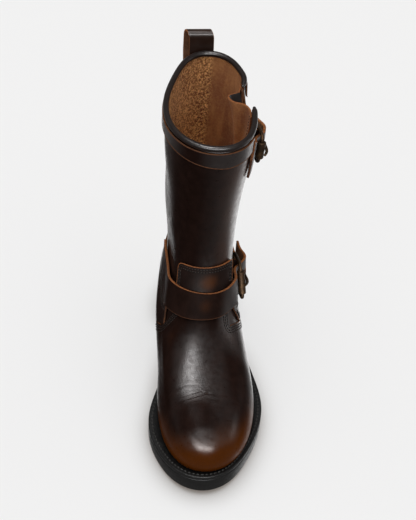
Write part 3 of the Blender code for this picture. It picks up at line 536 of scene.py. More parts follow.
def grid_faces(rows, columns, keep=None):
    corner = np.arange(rows - 1)[:, None] * columns + np.arange(columns - 1)
    faces = np.stack((corner, corner + columns, corner + columns + 1, corner + 1), axis=-1)
    if keep is not None:
        return faces[keep].tolist()
    return faces.reshape(-1, 4).tolist()


# Which way a sheet grows from its grid
OUTWARDS = 1.0
INWARDS = -1.0
BOTH_WAYS = 0.0
BEVEL = 0.45
THIN_BEVEL = 0.3
GUSSET_BEVEL = 0.25


def add_sheet(name, grid, thickness, side, finishes, node=None, masks=None, keep=None, bevel=BEVEL):
    """Leather sheet with face, cut edge and back, in that order of finishes."""
    rows, columns = grid.shape[:2]
    mesh = make_mesh(name, grid.reshape(-1, 3), grid_faces(rows, columns, keep), masks)
    made = add_piece(name, mesh, finishes, node)
    shell = made.modifiers.new("thickness", "SOLIDIFY")
    shell.thickness = thickness * MM
    shell.offset = side
    shell.use_even_offset = True
    shell.material_offset_rim = 1
    shell.material_offset = 2
    if bevel:
        rounding = made.modifiers.new("rounding", "BEVEL")
        rounding.width = bevel * MM
        rounding.segments = 2
        rounding.limit_method = "ANGLE"
        rounding.angle_limit = np.radians(50.0)
        rounding.use_clamp_overlap = True
        rounding.material = 1
    return made


def tube_rings(points, radius, sides, up=(0.0, 0.0, 1.0)):
    """Rings of points round a line, with radius per point."""
    points = np.asarray(points, float)
    radius = np.broadcast_to(np.asarray(radius, float), len(points))
    run = unit(np.gradient(points, axis=0))
    spin = 2.0 * np.pi * np.arange(sides)[:, None] / sides
    first = np.array(up)
    rings = []
    for point, along, size in zip(points, run, radius):
        side = unit(np.cross(along, first))
        first = np.cross(side, along)
        rings.append(point + size * (np.cos(spin) * side + np.sin(spin) * first))
    return np.array(rings)


def ring_faces(rings, count, closed=False):
    """Faces between rings of count points, and from the last to the first one if closed."""
    faces = []
    for r in range(rings if closed else rings - 1):
        first, second = r * count, (r + 1) % rings * count
        for j in range(count):
            after = (j + 1) % count
            faces.append((first + j, first + after, second + after, second + j))
    return faces


def bar_faces(rings, count, first=0):
    """Faces of a bar of rings with both ends closed, whose points start at number first."""
    last = (rings - 1) * count
    faces = ring_faces(rings, count)
    faces += [tuple(range(count)), tuple(reversed(range(last, last + count)))]
    return [tuple(first + k for k in face) for face in faces]


def add_ring(name, points, radius, finish, node, sides, up):
    """Round bar along a closed line."""
    lap = 3
    doubled = np.concatenate((points[-lap:], points, points[:lap]))
    rings = tube_rings(doubled, radius, sides, up)[lap:-lap]
    mesh = make_mesh(name, rings.reshape(-1, 3), ring_faces(len(rings), sides, True))
    add_piece(name, mesh, (finish,), node)


DOME = np.radians((90.0, 70.0, 45.0, 20.0))
DOME_TIP = 0.001


def add_tube(name, points, radius, finish, node=None, sides=20, up=(0.0, 0.0, 1.0)):
    """Round bar along a line, with domed ends."""
    radius = np.broadcast_to(np.asarray(radius, float), len(points))
    start = unit(points[0] - points[1])
    end = unit(points[-1] - points[-2])
    head = points[0] + radius[0] * np.sin(DOME)[:, None] * start
    tail = points[-1] + radius[-1] * np.sin(DOME[::-1])[:, None] * end
    tip = radius[0] * np.cos(DOME) + DOME_TIP
    butt = radius[-1] * np.cos(DOME[::-1]) + DOME_TIP
    line = np.concatenate((head, points, tail))
    rings = tube_rings(line, np.concatenate((tip, radius, butt)), sides, up)
    mesh = make_mesh(name, rings.reshape(-1, 3), bar_faces(len(rings), sides))
    add_piece(name, mesh, (finish,), node)


def even_line(points, pitch):
    """Points at an even pitch along a line."""
    points = np.asarray(points, float)
    run = lengths(points)
    count = max(2, int(run[-1] / pitch) + 1)
    at = np.linspace(0.0, run[-1], count)
    return np.column_stack([np.interp(at, run, points[:, k]) for k in range(3)])


Stitch = namedtuple("Stitch", "pitch length radius")
SEAM_STITCH = Stitch(2.6, 1.7, 0.5)
GUSSET_STITCH = Stitch(3.4, 1.9, 0.5)
WELT_STITCH = Stitch(4.0, 3.0, 0.85)
THREAD_SIDES = 6
THREAD_SINK = 0.5  # a stitch's ends sink by this share of its radius
SEAM_GROOVE = 0.42  # radius of the near-black tube under a seam, painted shade of its groove
GROOVE_PITCH = 0.8  # between its rings
SEAM_RISE = 0.05  # middle of a seam over the face
# Shares of a stitch's half length and radius
STITCH_SHAPE = ((-1.0, 0.25), (-0.72, 0.8), (0.0, 1.0), (0.72, 0.8), (1.0, 0.25))


def add_stitches(name, lines, stitch, finish):
    """Stitches along lines, each line with its outward directions."""
    points, faces = [], []
    spin = 2.0 * np.pi * np.arange(THREAD_SIDES)[:, None] / THREAD_SIDES
    for line, outwards in lines:
        spots = even_line(line, stitch.pitch)
        if len(spots) < 3:
            continue
        run = unit(np.gradient(spots, axis=0))
        nearest = np.linalg.norm(spots[:, None] - np.asarray(line)[None], axis=2).argmin(axis=1)
        for spot, along, out in zip(spots, run, np.asarray(outwards)[nearest]):
            side = unit(np.cross(along, out))
            round_ = stitch.radius * (np.cos(spin) * side + np.sin(spin) * out)
            faces += bar_faces(len(STITCH_SHAPE), THREAD_SIDES, len(points))
            for reach, size in STITCH_SHAPE:
                sink = THREAD_SINK * stitch.radius * reach ** 2
                points.extend(spot + along * reach * stitch.length / 2.0 - out * sink + size * round_)
    mesh = bpy.data.meshes.new(name)
    mesh.from_pydata(place(points).tolist(), [], faces)
    mesh.shade_smooth()
    add_piece(name, mesh, (finish,))


def add_seams(name, lines):
    """Rows of stitches, each over a near-black tube that paints the shade of its groove."""
    points, faces = [], []
    for line, _ in lines:
        rings = tube_rings(even_line(line, GROOVE_PITCH), SEAM_GROOVE, THREAD_SIDES)
        faces += bar_faces(len(rings), THREAD_SIDES, len(points))
        points.extend(rings.reshape(-1, 3))
    mesh = make_mesh(f"{name}_groove", points, faces)
    add_piece(f"{name}_groove", mesh, (SEAM_SHADE_AND_DARK_THREAD,))
    add_stitches(f"{name}_stitches", lines, SEAM_STITCH, THREAD)


def surface_line(levels, angles, height):
    """Line over the upper with its outward directions, for stitches."""
    return lifted(levels, angles, height), upper_normal(levels, angles)


# Creases, burnish and nap

# Crease lines over the vamp: degrees round from the toe and fwd, with width and depth in millimetres
Crease = namedtuple("Crease", "degrees fwd width depth")
CREASES = (
    Crease((-30, -16, -4, 6), (190.0, 189.0, 187.0, 184.5), 0.7, 0.42),
    Crease((2, 9, 20, 32), (183.5, 184.5, 186.0, 185.0), 0.6, 0.34),
    Crease((-24, -14, -4, 4), (186.0, 185.5, 183.5, 181.5), 0.6, 0.34),
    Crease((-14, -6, 0), (182.5, 181.5, 180.0), 0.5, 0.2),
    Crease((-40, -24, -12, -4), (179.5, 177.5, 176.0, 176.0), 1.0, 0.16),
    Crease((-22, -12, 0), (192.0, 191.4, 189.6), 0.6, 0.2),
    Crease((8, 20, 34), (189.0, 190.5, 189.0), 0.8, 0.18),
)
CREASE_FADE = 6.0  # degrees that a crease runs on at both ends
CREASE_RAMP = 9.0  # degrees over which it deepens
RIDGE_SHARE = 0.45  # height of the ridges beside a crease, of its depth
RIDGE_OFF = 2.0  # their distance, in widths of the crease
# Trough across the ball
FLEX_FWD = 183.0
FLEX_WIDTH = 14.0
FLEX_DEPTH = 0.5
FLEX_MIDDLE = -4.0  # degrees
FLEX_SPREAD = 42.0
# Width of the brown zone over the welt, by degrees round from the toe
BURNISH_REACH = ((-75.0, 20.0), (-40.0, 30.0), (-12.0, 33.0), (12.0, 35.0), (45.0, 32.0), (75.0, 26.0))



class Bell(namedtuple("Bell", "strength middle width")):
    """Soft bell of a mask along a measure."""

    def at(self, value):
        return self.strength * hump(value, self.middle, self.width)


class Rise(namedtuple("Rise", "strength start length")):
    """Soft rise of a mask along a measure."""

    def at(self, value):
        return self.strength * ramp(value, self.start, self.length)


def total(rows, value):
    return sum(row.at(value) for row in rows)


# Burnish of the vamp
TOE_BROWN = Rise(1.0, 118.0, 80.0)  # by fwd
FEATHER_FADE = Rise(1.0, -27.0, 42.0)  # by level over the brown zone's width
STRAP_BROWN = Bell(0.25, 128.0, 14.0)  # by fwd
STRAP_SIDES = Bell(1.0, 38.0, 16.0)  # by degrees to either side
INNER_SHADE = Rise(-0.3, 15.0, 25.0)  # painted shade that dims the burnish, by degrees to the inner side
# Dullness of the vamp
VAMP_DULL = 0.55
INNER_DULL = (Rise(0.45, 22.0, 22.0), Rise(-0.5, 60.0, 18.0))  # by degrees to the inner side
OUTER_DULL = Rise(0.35, 22.0, 15.0)  # by degrees to the outer side
OUTER_FWD = Rise(1.0, 135.0, 20.0)  # by fwd
OUTER_GLOSS = Rise(-0.6, 56.0, 16.0)  # by degrees to the outer side
STRIP_START = Rise(1.0, 178.0, 22.0)  # by fwd
STRIP_END = Rise(-1.0, 208.0, 18.0)  # by fwd
STRIP_DULL = 0.5
STRIP_MIDDLE = -6.0  # degrees
STRIP_SIDES = Rise(-0.45, 2.0, 28.0)  # by degrees from its middle
STRIP_INNER = 0.5  # share of the inner side's dullness that it takes off
THROAT_DULL = 0.45
THROAT_FWD = Rise(-1.0, 116.0, 30.0)  # by fwd
THROAT_SIDE = Rise(-1.0, 14.0, 14.0)  # by degrees to the outer side
TOE_DULL = Rise(0.4, 0.5, 0.35)  # by burnish
TOE_SIDE = Rise(-1.0, 22.0, 25.0)  # by degrees to the outer side
TOE_GLOSS = Rise(-0.1, 205.0, 15.0)  # by fwd
# The other layers, by degrees round from the toe where nothing else is said
SHAFT_DULL = 0.70
SHAFT_BELLS = (Bell(0.30, -27.0, 18.0), Bell(-0.56, 36.0, 26.0), Bell(0.26, -90.0, 35.0))
# Warmer, lighter band on the shaft's outer front: a painted sheen, carried in the burnish mask
SHAFT_PAINTED_SHEEN = Bell(0.36, 32.0, 28.0)
BAND_DULL = Bell(1.0, -27.0, 18.0)
COUNTER_DULL = 0.75
PATCH_DULL = 0.8
PATCH_WARM = Bell(0.75, 4.0, 13.0)
PATCH_MIDDLE = Bell(1.0, 133.0, 8.0)  # by height
BILLET_WARM = Bell(0.4, 3.0, 9.0)
BILLET_MIDDLE = Bell(1.0, 0.0, 0.7)  # by share of its half width
BILLET_WORN = Bell(0.35, 1.0, 0.12)  # by share of its half width
BILLET_LOW_EDGE_SHADE = 0.8  # painted shade on the low edge
BILLET_DULL = 0.95
BILLET_GLOSS = Rise(-0.6, 14.0, 22.0)
CHAPE_MASKS = {"burnish": 0.2, "dull": 0.9}
LOOP_MASKS = {"burnish": 0.5, "dull": 0.4}
# Nap of the inside
SMOOTH_NAP = 0.10
INNER_NAP = Rise(0.8, 2.0, 14.0)  # by degrees to the inner side
SEAM_NAP = (Bell(1.0, -177.0, 5.0), Bell(1.0, 177.0, 5.0), Bell(1.0, -8.0, 6.0))


def crease_height(points, angles):
    """Soft trough across the ball with the small creases in it."""
    degrees = side_degrees(angles)
    fwd = points[..., 1]
    height = -FLEX_DEPTH * hump(fwd, FLEX_FWD, FLEX_WIDTH) * hump(degrees, FLEX_MIDDLE, FLEX_SPREAD)
    for crease in CREASES:
        off = (fwd - np.interp(degrees, crease.degrees, crease.fwd)) / crease.width
        inside = ramp(degrees, crease.degrees[0] - CREASE_FADE, CREASE_RAMP)
        inside = inside * ramp(-degrees, -crease.degrees[-1] - CREASE_FADE, CREASE_RAMP)
        ridges = hump(off, RIDGE_OFF, 1.0) + hump(off, -RIDGE_OFF, 1.0)
        height = height + crease.depth * inside * (RIDGE_SHARE * ridges - hump(off, 0.0, 1.0))
    return height


def vamp_burnish(points, levels, angles):
    """Brown burnish round the toe and along the feather line, fading to the ball, and dimmed towards the
    inner side by painted shade.
    """
    fwd = points[..., 1]
    degrees = side_degrees(angles)
    reach = np.interp(degrees, *np.array(BURNISH_REACH).T)
    low = 1.0 - FEATHER_FADE.at(levels - reach)
    strap = STRAP_BROWN.at(fwd) * STRAP_SIDES.at(np.abs(degrees))
    return np.clip(TOE_BROWN.at(fwd) * low * (1.0 + INNER_SHADE.at(-degrees)) + strap, 0.0, 1.0)


def vamp_dullness(points, angles, burnish):
    """Dull sides, and a dull strip between the creases and the toe."""
    fwd = points[..., 1]
    degrees = np.degrees(angles)
    strip = STRIP_START.at(fwd) * (1.0 + STRIP_END.at(fwd))
    middle = STRIP_DULL + STRIP_SIDES.at(np.abs(degrees - STRIP_MIDDLE))
    inner = total(INNER_DULL, -degrees) * (1.0 - STRIP_INNER * strip)
    outer = OUTER_DULL.at(degrees) * OUTER_FWD.at(fwd) + OUTER_GLOSS.at(degrees)
    throat = THROAT_DULL * (1.0 + THROAT_FWD.at(fwd)) * (1.0 + THROAT_SIDE.at(degrees))
    toe = TOE_DULL.at(burnish) * (1.0 + TOE_SIDE.at(degrees)) + TOE_GLOSS.at(fwd)
    return np.clip(VAMP_DULL + inner + outer + middle * strip + throat + toe, 0.0, 1.0)


# Upper and layers

# Columns and rows of points in the grids over the upper
UPPER_GRID = (241, 150)
VAMP_GRID = (301, 150)
COUNTER_GRID = (281, 50)
PATCH_GRID = (121, 50)
BAND_GRID = (261, 24)


def rough_side(degrees):
    """Nap of the inside: rough on the inner half, roughest down the back and beside the front."""
    rough = INNER_NAP.at(-degrees) + total(SEAM_NAP, degrees)
    return SMOOTH_NAP + (1.0 - SMOOTH_NAP) * np.clip(rough, 0.0, 1.0)


def add_upper():
    rows, turns = [], []
    for level in TOPLINE * np.linspace(0.0, 1.0, UPPER_GRID[1]):
        front, back = slit_angles(level)
        angles = np.linspace(front, back - 2.0 * np.pi, UPPER_GRID[0])
        rows.append(upper_point(level, angles))
        turns.append(side_degrees(angles))
    degrees = np.array(turns)
    masks = {
        "nap": rough_side(degrees),
        "dull": SHAFT_DULL + total(SHAFT_BELLS, degrees),
        # painted sheen on the shaft, carried in the burnish mask
        "burnish": SHAFT_PAINTED_SHEEN.at(degrees),
    }
    add_sheet("upper_skin", np.array(rows), WALL, INWARDS, WORN_SHEET, "upper", masks, bevel=0.0)


def panel(angles, low, high, rows, power=1.0):
    """Levels and angles of a grid over the upper between two edges."""
    shares = np.linspace(0.0, 1.0, rows)[:, None] ** power
    levels = low + (high - low) * shares
    return levels, np.broadcast_to(angles, levels.shape)


BEAD_PITCH = 1.5
# Radius of a bead and its middle under the layer's face
PATCH_BEAD = (0.5, 0.3)
BAND_BEAD = (0.45, 0.25)


def add_edge_line(name, levels, angles, bead, finish=EDGE):
    """Thin bead of raw leather along an edge of a layer."""
    radius, drop = bead
    line = even_line(lifted(levels, angles, LAYER_TOP - drop), BEAD_PITCH)
    add_tube(name, line, radius, finish, sides=10)


def beside(levels, angles, inset):
    """Line on the upper at a distance to the right of another one, without its overrun corners."""
    points = upper_point(levels, angles)
    side = unit(np.cross(np.gradient(points, axis=0), upper_normal(levels, angles)))
    rise = upper_point(levels + 0.5, angles) - upper_point(levels - 0.5, angles)
    turn = (upper_point(levels, angles + 0.005) - upper_point(levels, angles - 0.005)) / 0.01
    metric = np.array([[(a * b).sum(-1) for b in (rise, turn)] for a in (rise, turn)])
    wanted = inset * np.array([(side * a).sum(-1) for a in (rise, turn)])
    steps = np.linalg.solve(np.moveaxis(metric, -1, 0), wanted.T[..., None])[..., 0]
    moved = np.column_stack((levels, angles)) + steps
    apart = np.linalg.norm(upper_point(*moved.T)[:, None] - points[None], axis=2).min(axis=1)
    return moved[apart > 0.9 * abs(inset)].T


def seam_rows(levels, angles, insets, height):
    """Stitch lines beside an edge, with their outward directions."""
    return [surface_line(*beside(levels, angles, inset), height) for inset in insets]


# Distances of the stitch rows from an edge
VAMP_ROWS = (1.9, 4.1, 6.3)
COUNTER_ROWS = (2.0, 4.2)
PATCH_ROWS = (2.2, 4.6, 7.0)
VAMP_SEAM = 96.0  # degrees, where the vamp's seams end
COUNTER_SEAM = (6.0, 3.0)  # degrees from the counter's outer and inner end to its top seams
COUNTER_LOW_SEAM = 84.0  # degrees, where its low seams end
PATCH_SEAM = (2.0, 1.0)  # from the patch's low and top edge to its side seams
TOE_CROWDING = 1.15  # power that brings the vamp's rows closer at the welt


def add_vamp():
    edge = height_edge(VAMP_EDGE)
    angles = np.radians(np.linspace(VAMP_SIDE, -VAMP_SIDE, VAMP_GRID[0]))
    levels, turned = panel(angles, HEM, level_at(angles, edge(angles)), VAMP_GRID[1], TOE_CROWDING)
    base = upper_point(levels, turned)
    grid = lifted(levels, turned, COVER_GAP + crease_height(base, turned))
    burnish = vamp_burnish(base, levels, turned)
    masks = {"burnish": burnish, "dull": vamp_dullness(base, turned, burnish)}
    add_sheet("vamp_panel", grid, OVERLAY, OUTWARDS, RAW_SHEET, "vamp", masks)
    seam = np.radians(np.linspace(VAMP_SEAM, -VAMP_SEAM, 900))
    lines = seam_rows(level_at(seam, edge(seam)), seam, VAMP_ROWS, COVER_TOP + SEAM_RISE)
    add_seams("vamp", lines)


def counter_low(angles):
    """Levels of the counter's low edge: along the vamp's edge, then along the welt."""
    turned = np.pi - np.abs(np.pi - angles)
    side = np.where(angles > np.pi, -turned, turned)
    vamp = level_at(side, height_edge(VAMP_EDGE)(side)) + SEAM_GAP
    slant = np.where(side > 0.0, level_at(side, height_edge(COUNTER_SLANT)(side)), HEM)
    behind = turned > np.radians(VAMP_SIDE)
    return np.where(behind, HEM, np.maximum(np.maximum(vamp, slant), HEM))


def add_counter():
    inner = 360.0 + COUNTER_INNER
    top = height_edge(COUNTER_TOP)
    angles = np.radians(np.linspace(inner, COUNTER_OUTER, COUNTER_GRID[0]))
    high = level_at(angles, top(angles))
    levels, turned = panel(angles, counter_low(angles), high, COUNTER_GRID[1])
    grid = lifted(levels, turned, COVER_GAP)
    masks = {"dull": COUNTER_DULL}
    add_sheet("counter_panel", grid, OVERLAY, OUTWARDS, WORN_SHEET, "counter", masks)
    height = COVER_TOP + SEAM_RISE
    first = COUNTER_OUTER + COUNTER_SEAM[0]
    seam = np.radians(np.linspace(first, inner - COUNTER_SEAM[1], 500))
    low = np.radians(np.linspace(first, COUNTER_LOW_SEAM, 120))
    lines = seam_rows(level_at(seam, top(seam)), seam, [-row for row in COUNTER_ROWS], height)
    lines += seam_rows(counter_low(low), low, COUNTER_ROWS, height)
    add_seams("counter", lines)


def patch_top(angles):
    """Height of the patch's top edge, with rounded corners."""
    first, last = np.radians(PATCH_ENDS)
    share = (2.0 * angles - first - last) / (last - first)
    corner = (1.0 - (0.995 * np.abs(share)) ** PATCH_CORNER) ** (1.0 / PATCH_CORNER)
    return PATCH_LOW + (PATCH_RISE - PATCH_DROP * share ** 2) * corner


def add_patch():
    inner, outer = np.radians(PATCH_ENDS)
    even = np.linspace(0.0, np.pi, PATCH_GRID[0])
    angles = outer + (inner - outer) * (0.5 - 0.5 * np.cos(even))
    top = level_at(angles, patch_top(angles))
    levels, turned = panel(angles, level_at(angles, PATCH_LOW), top, PATCH_GRID[1])
    grid = lifted(levels, turned, LAYER_GAP)
    up = upper_point(levels, turned)[..., 2]
    warm = PATCH_WARM.at(np.degrees(turned)) * PATCH_MIDDLE.at(up)
    masks = {"burnish": warm, "dull": PATCH_DULL}
    add_sheet("patch_panel", grid, OVERLAY, OUTWARDS, STRAP_SHEET, "instep_patch", masks)
    rise = np.linspace(0.0, 1.0, 30)[:-1]
    sides = [np.full(len(rise), side) for side in (outer, inner)]
    climb = [PATCH_LOW + (patch_top(side) - PATCH_LOW) * rise for side in sides]
    turns = np.concatenate((sides[0], angles, sides[1]))
    heights = np.concatenate((climb[0], patch_top(angles), climb[1][::-1]))
    add_edge_line("patch_edge", level_at(turns, heights), turns, PATCH_BEAD)
    height = LAYER_TOP + SEAM_RISE
    lines = seam_rows(top, angles, PATCH_ROWS[:2], height)
    for side, insets in ((outer, PATCH_ROWS), (inner, [-row for row in PATCH_ROWS[:2]])):
        rise = np.linspace(PATCH_LOW + PATCH_SEAM[0], float(patch_top(side)) - PATCH_SEAM[1], 40)
        edge = np.full(len(rise), side)
        lines += seam_rows(level_at(edge, rise), edge, insets, height)
    add_seams("patch", lines)


# Height of the collar band as a share of the solid's, by degrees round from the toe
BAND_SHARE = ((-150.0, 0.66), (-60.0, 0.6), (-20.0, 0.75), (10.0, 0.85), (45.0, 0.78))
BAND_FRONT = 35.4  # degrees from the slit's front edge to the band
BAND_BACK = 8.9
BAND_DROP = 0.8  # top of the band under the topline
BINDING_PINCH = 0.45  # the binding's ends are thinner by this share
PINCH_POINTS = 1.5  # over this many points of its line
BINDING_SWELL = 0.1  # over the solid's radius
BINDING_END = 0.03  # radians from the slit to the binding


def add_band():
    front, back = np.degrees(slit_angles(TOPLINE - BAND_HEIGHT / 2.0))
    degrees = np.linspace(front - BAND_FRONT, back + BAND_BACK - 360.0, BAND_GRID[0])
    angles = np.radians(degrees)
    low = level_under_rim(angles, BAND_HEIGHT * np.interp(degrees, *np.array(BAND_SHARE).T))
    levels, turned = panel(angles, low, level_under_rim(angles, BAND_DROP), BAND_GRID[1])
    grid = lifted(levels, turned, LAYER_GAP)
    masks = {"dull": BAND_DULL.at(np.degrees(turned))}
    add_sheet("band_panel", grid, OVERLAY, OUTWARDS, WORN_SHEET, "collar_band", masks)
    add_edge_line("band_edge", low, angles, BAND_BEAD, WORN_AND_SHADED_EDGE)


def add_binding():
    front, back = slit_angles(TOPLINE)
    angles = np.linspace(front - BINDING_END, back + BINDING_END - 2.0 * np.pi, 220)
    line = lifted(TOPLINE, angles, -WALL / 2.0)
    line[:, 2] += BINDING_RADIUS + SEAT_GAP
    count = np.arange(len(line))
    pinch = 1.0 - BINDING_PINCH * hump(np.minimum(count, count[::-1]), 0.0, PINCH_POINTS)
    radius = (BINDING_RADIUS + BINDING_SWELL) * pinch
    add_tube("binding_roll", line, radius, DARK_LEATHER, "collar_binding", 24)


# Share of the way across the slit and share of the pleat's depth
PLEAT = (
    (0.0, 0.0), (0.07, 0.36), (0.15, 0.76), (0.26, 1.0), (0.41, 1.02), (0.54, 0.86), (0.61, 0.58),
    (0.66, 0.28), (0.78, 0.07), (1.0, 0.0),
)
GUSSET_THICK = 1.4
GUSSET_SEAT = 1.2  # between the wall and the gusset
GUSSET_LAP = 9.0  # degrees past the slit on both sides
GUSSET_FOOT = 8.0  # below the slit's foot
GUSSET_DROP = 1.0  # its top under the topline
GUSSET_SEAM = 5.0  # degrees from the slit to its seam
GUSSET_SEAM_DROP = 4.0
GUSSET_SEAM_RISE = 0.1


def add_gusset():
    """Pleat behind the slit: dark grain leather on its outer side, rough on the side that shows in the shaft.
    """
    inside = -(WALL + GUSSET_SEAT + GUSSET_THICK / 2.0)
    steps = np.linspace(0.0, len(PLEAT) - 1.0, 90)
    fold, depth = spline(np.arange(len(PLEAT)), np.array(PLEAT), steps).T
    lap = np.radians(np.linspace(GUSSET_LAP, 0.0, 12)[:-1])
    rows = []
    for level in np.linspace(SLIT_LEVEL - GUSSET_FOOT, TOPLINE - GUSSET_DROP, 60):
        front, back = slit_angles(level)
        wide = (back - front) / np.radians(SLIT_BACK - SLIT_FRONT)
        start = lifted(level, back, inside)
        end = lifted(level, front, inside)
        inwards = -upper_normal(level, front)
        pleat = start + (end - start) * fold[:, None] + inwards * (depth * PLEAT_DEPTH * wide)[:, None]
        behind = lifted(level, back + lap, inside)
        ahead = lifted(level, front - lap[::-1], inside)
        rows.append(np.concatenate((behind, pleat, ahead)))
    add_sheet(
        "gusset_fold", np.array(rows), GUSSET_THICK, BOTH_WAYS, GUSSET_SHEET, "gusset",
        {"nap": SMOOTH_NAP}, bevel=GUSSET_BEVEL,
    )
    seam = np.linspace(TOPLINE - GUSSET_SEAM_DROP, SLIT_LEVEL, 80)
    front = slit_angles(seam)[0] - np.radians(GUSSET_SEAM)
    line, outwards = surface_line(seam, front, inside - GUSSET_THICK / 2.0 - GUSSET_SEAM_RISE)
    # its stitches take the same near-black colour as dark thread
    add_stitches("gusset_stitches", [(line, -outwards)], GUSSET_STITCH, SEAM_SHADE_AND_DARK_THREAD)


# Straps and buckles

STRAP_SEAT = 0.9  # underside of a strap over the upper
# Rise of the instep strap over vamp and patch, by degrees round from the toe
STRAP_STEP = ((-86.0, 0.0), (-44.0, 3.0), (48.0, 3.0), (66.0, 0.0))
LEVEL = ((0.0, 0.0), (90.0, 0.0))
STRAP_THICK = 2.4
CHAPE_THICK = 1.8
ROLLER_RADIUS = 3.9
WIRE_RADIUS = 1.7
PRONG_RADIUS = 1.4
FRAME_LENGTH = 21.0  # roller's axis to the bar that the chape holds
FRAME_CORNER = 4.0
FRAME_PLAY = 1.6  # between the strap's edge and the frame
STRAP_LINE = STRAP_SEAT + STRAP_THICK / 2.0
CHAPE_LINE = STRAP_SEAT + CHAPE_THICK / 2.0
WRAP = WIRE_RADIUS + SEAT_GAP + CHAPE_THICK / 2.0
BAR_HEIGHT = CHAPE_LINE + WRAP
ROLLER_HEIGHT = STRAP_LINE + STRAP_THICK / 2.0 + LAYER_GAP + ROLLER_RADIUS
HOOK = WIRE_RADIUS + SEAT_GAP + PRONG_RADIUS
PRONG_TOP = ROLLER_HEIGHT + ROLLER_RADIUS + SEAT_GAP + PRONG_RADIUS
HOLE_ENDS = (9.5, 20.5)  # hole for the prong, behind the roller
HOLE_HALF = 2.1
PRONG_TIP = 0.8  # share of the prong's radius
PRONG_PLAY = 0.6  # between the prong and the chape's hole
ROLLER_PLAY = 2.4  # roller's end inside the strap's edge
ROLLER_SOFT = 0.6  # bevel of its ends
BILLET_ROWS = 29  # points across a strap

# Distance behind the roller and rise, along the strap's free end
BILLET = (
    (-14.0, 0.0), (-6.0, 0.0), (0.0, 0.0), (5.0, 1.6), (10.0, 5.4), (15.0, 9.0), (20.0, 11.2), (25.0, 11.2),
    (33.0, 8.0), (44.0, 5.6),
)
# Distance behind the roller and height over the upper, along the chape's two legs and the prong
CHAPE_UNDER = ((52.0, CHAPE_LINE), (42.0, CHAPE_LINE), (31.0, CHAPE_LINE))
CHAPE_OVER = ((26.0, STRAP_SEAT + 5.4), (32.0, STRAP_SEAT + 3.6), (38.0, STRAP_SEAT + 2.8))
PRONG_RUN = (
    (14.0, PRONG_TOP - 2.2), (7.0, PRONG_TOP - 0.7), (1.0, PRONG_TOP), (-4.0, PRONG_TOP - 0.4),
    (-8.0, PRONG_TOP - 1.5),
)


def smooth_line(points, count):
    """Finer points through a line, by its own length."""
    points = np.asarray(points, float)
    run = lengths(points)
    return spline(run, points, np.linspace(0.0, run[-1], count))


def round_bar(radius, first, last, count):
    """Places on an arc round the bar of the frame, between two angles in degrees."""
    turn = np.radians(np.linspace(first, last, count))
    return np.column_stack((FRAME_LENGTH - radius * np.cos(turn), BAR_HEIGHT + radius * np.sin(turn)))


def strap_step(step, angles):
    """Soft rise of a strap over what lies under it."""
    degrees, rise = np.array(step).T
    most = max(rise.max(), 0.1)
    share = np.interp(np.degrees(angles), degrees, rise / most)
    return most * share ** 2 * (3.0 - 2.0 * share)


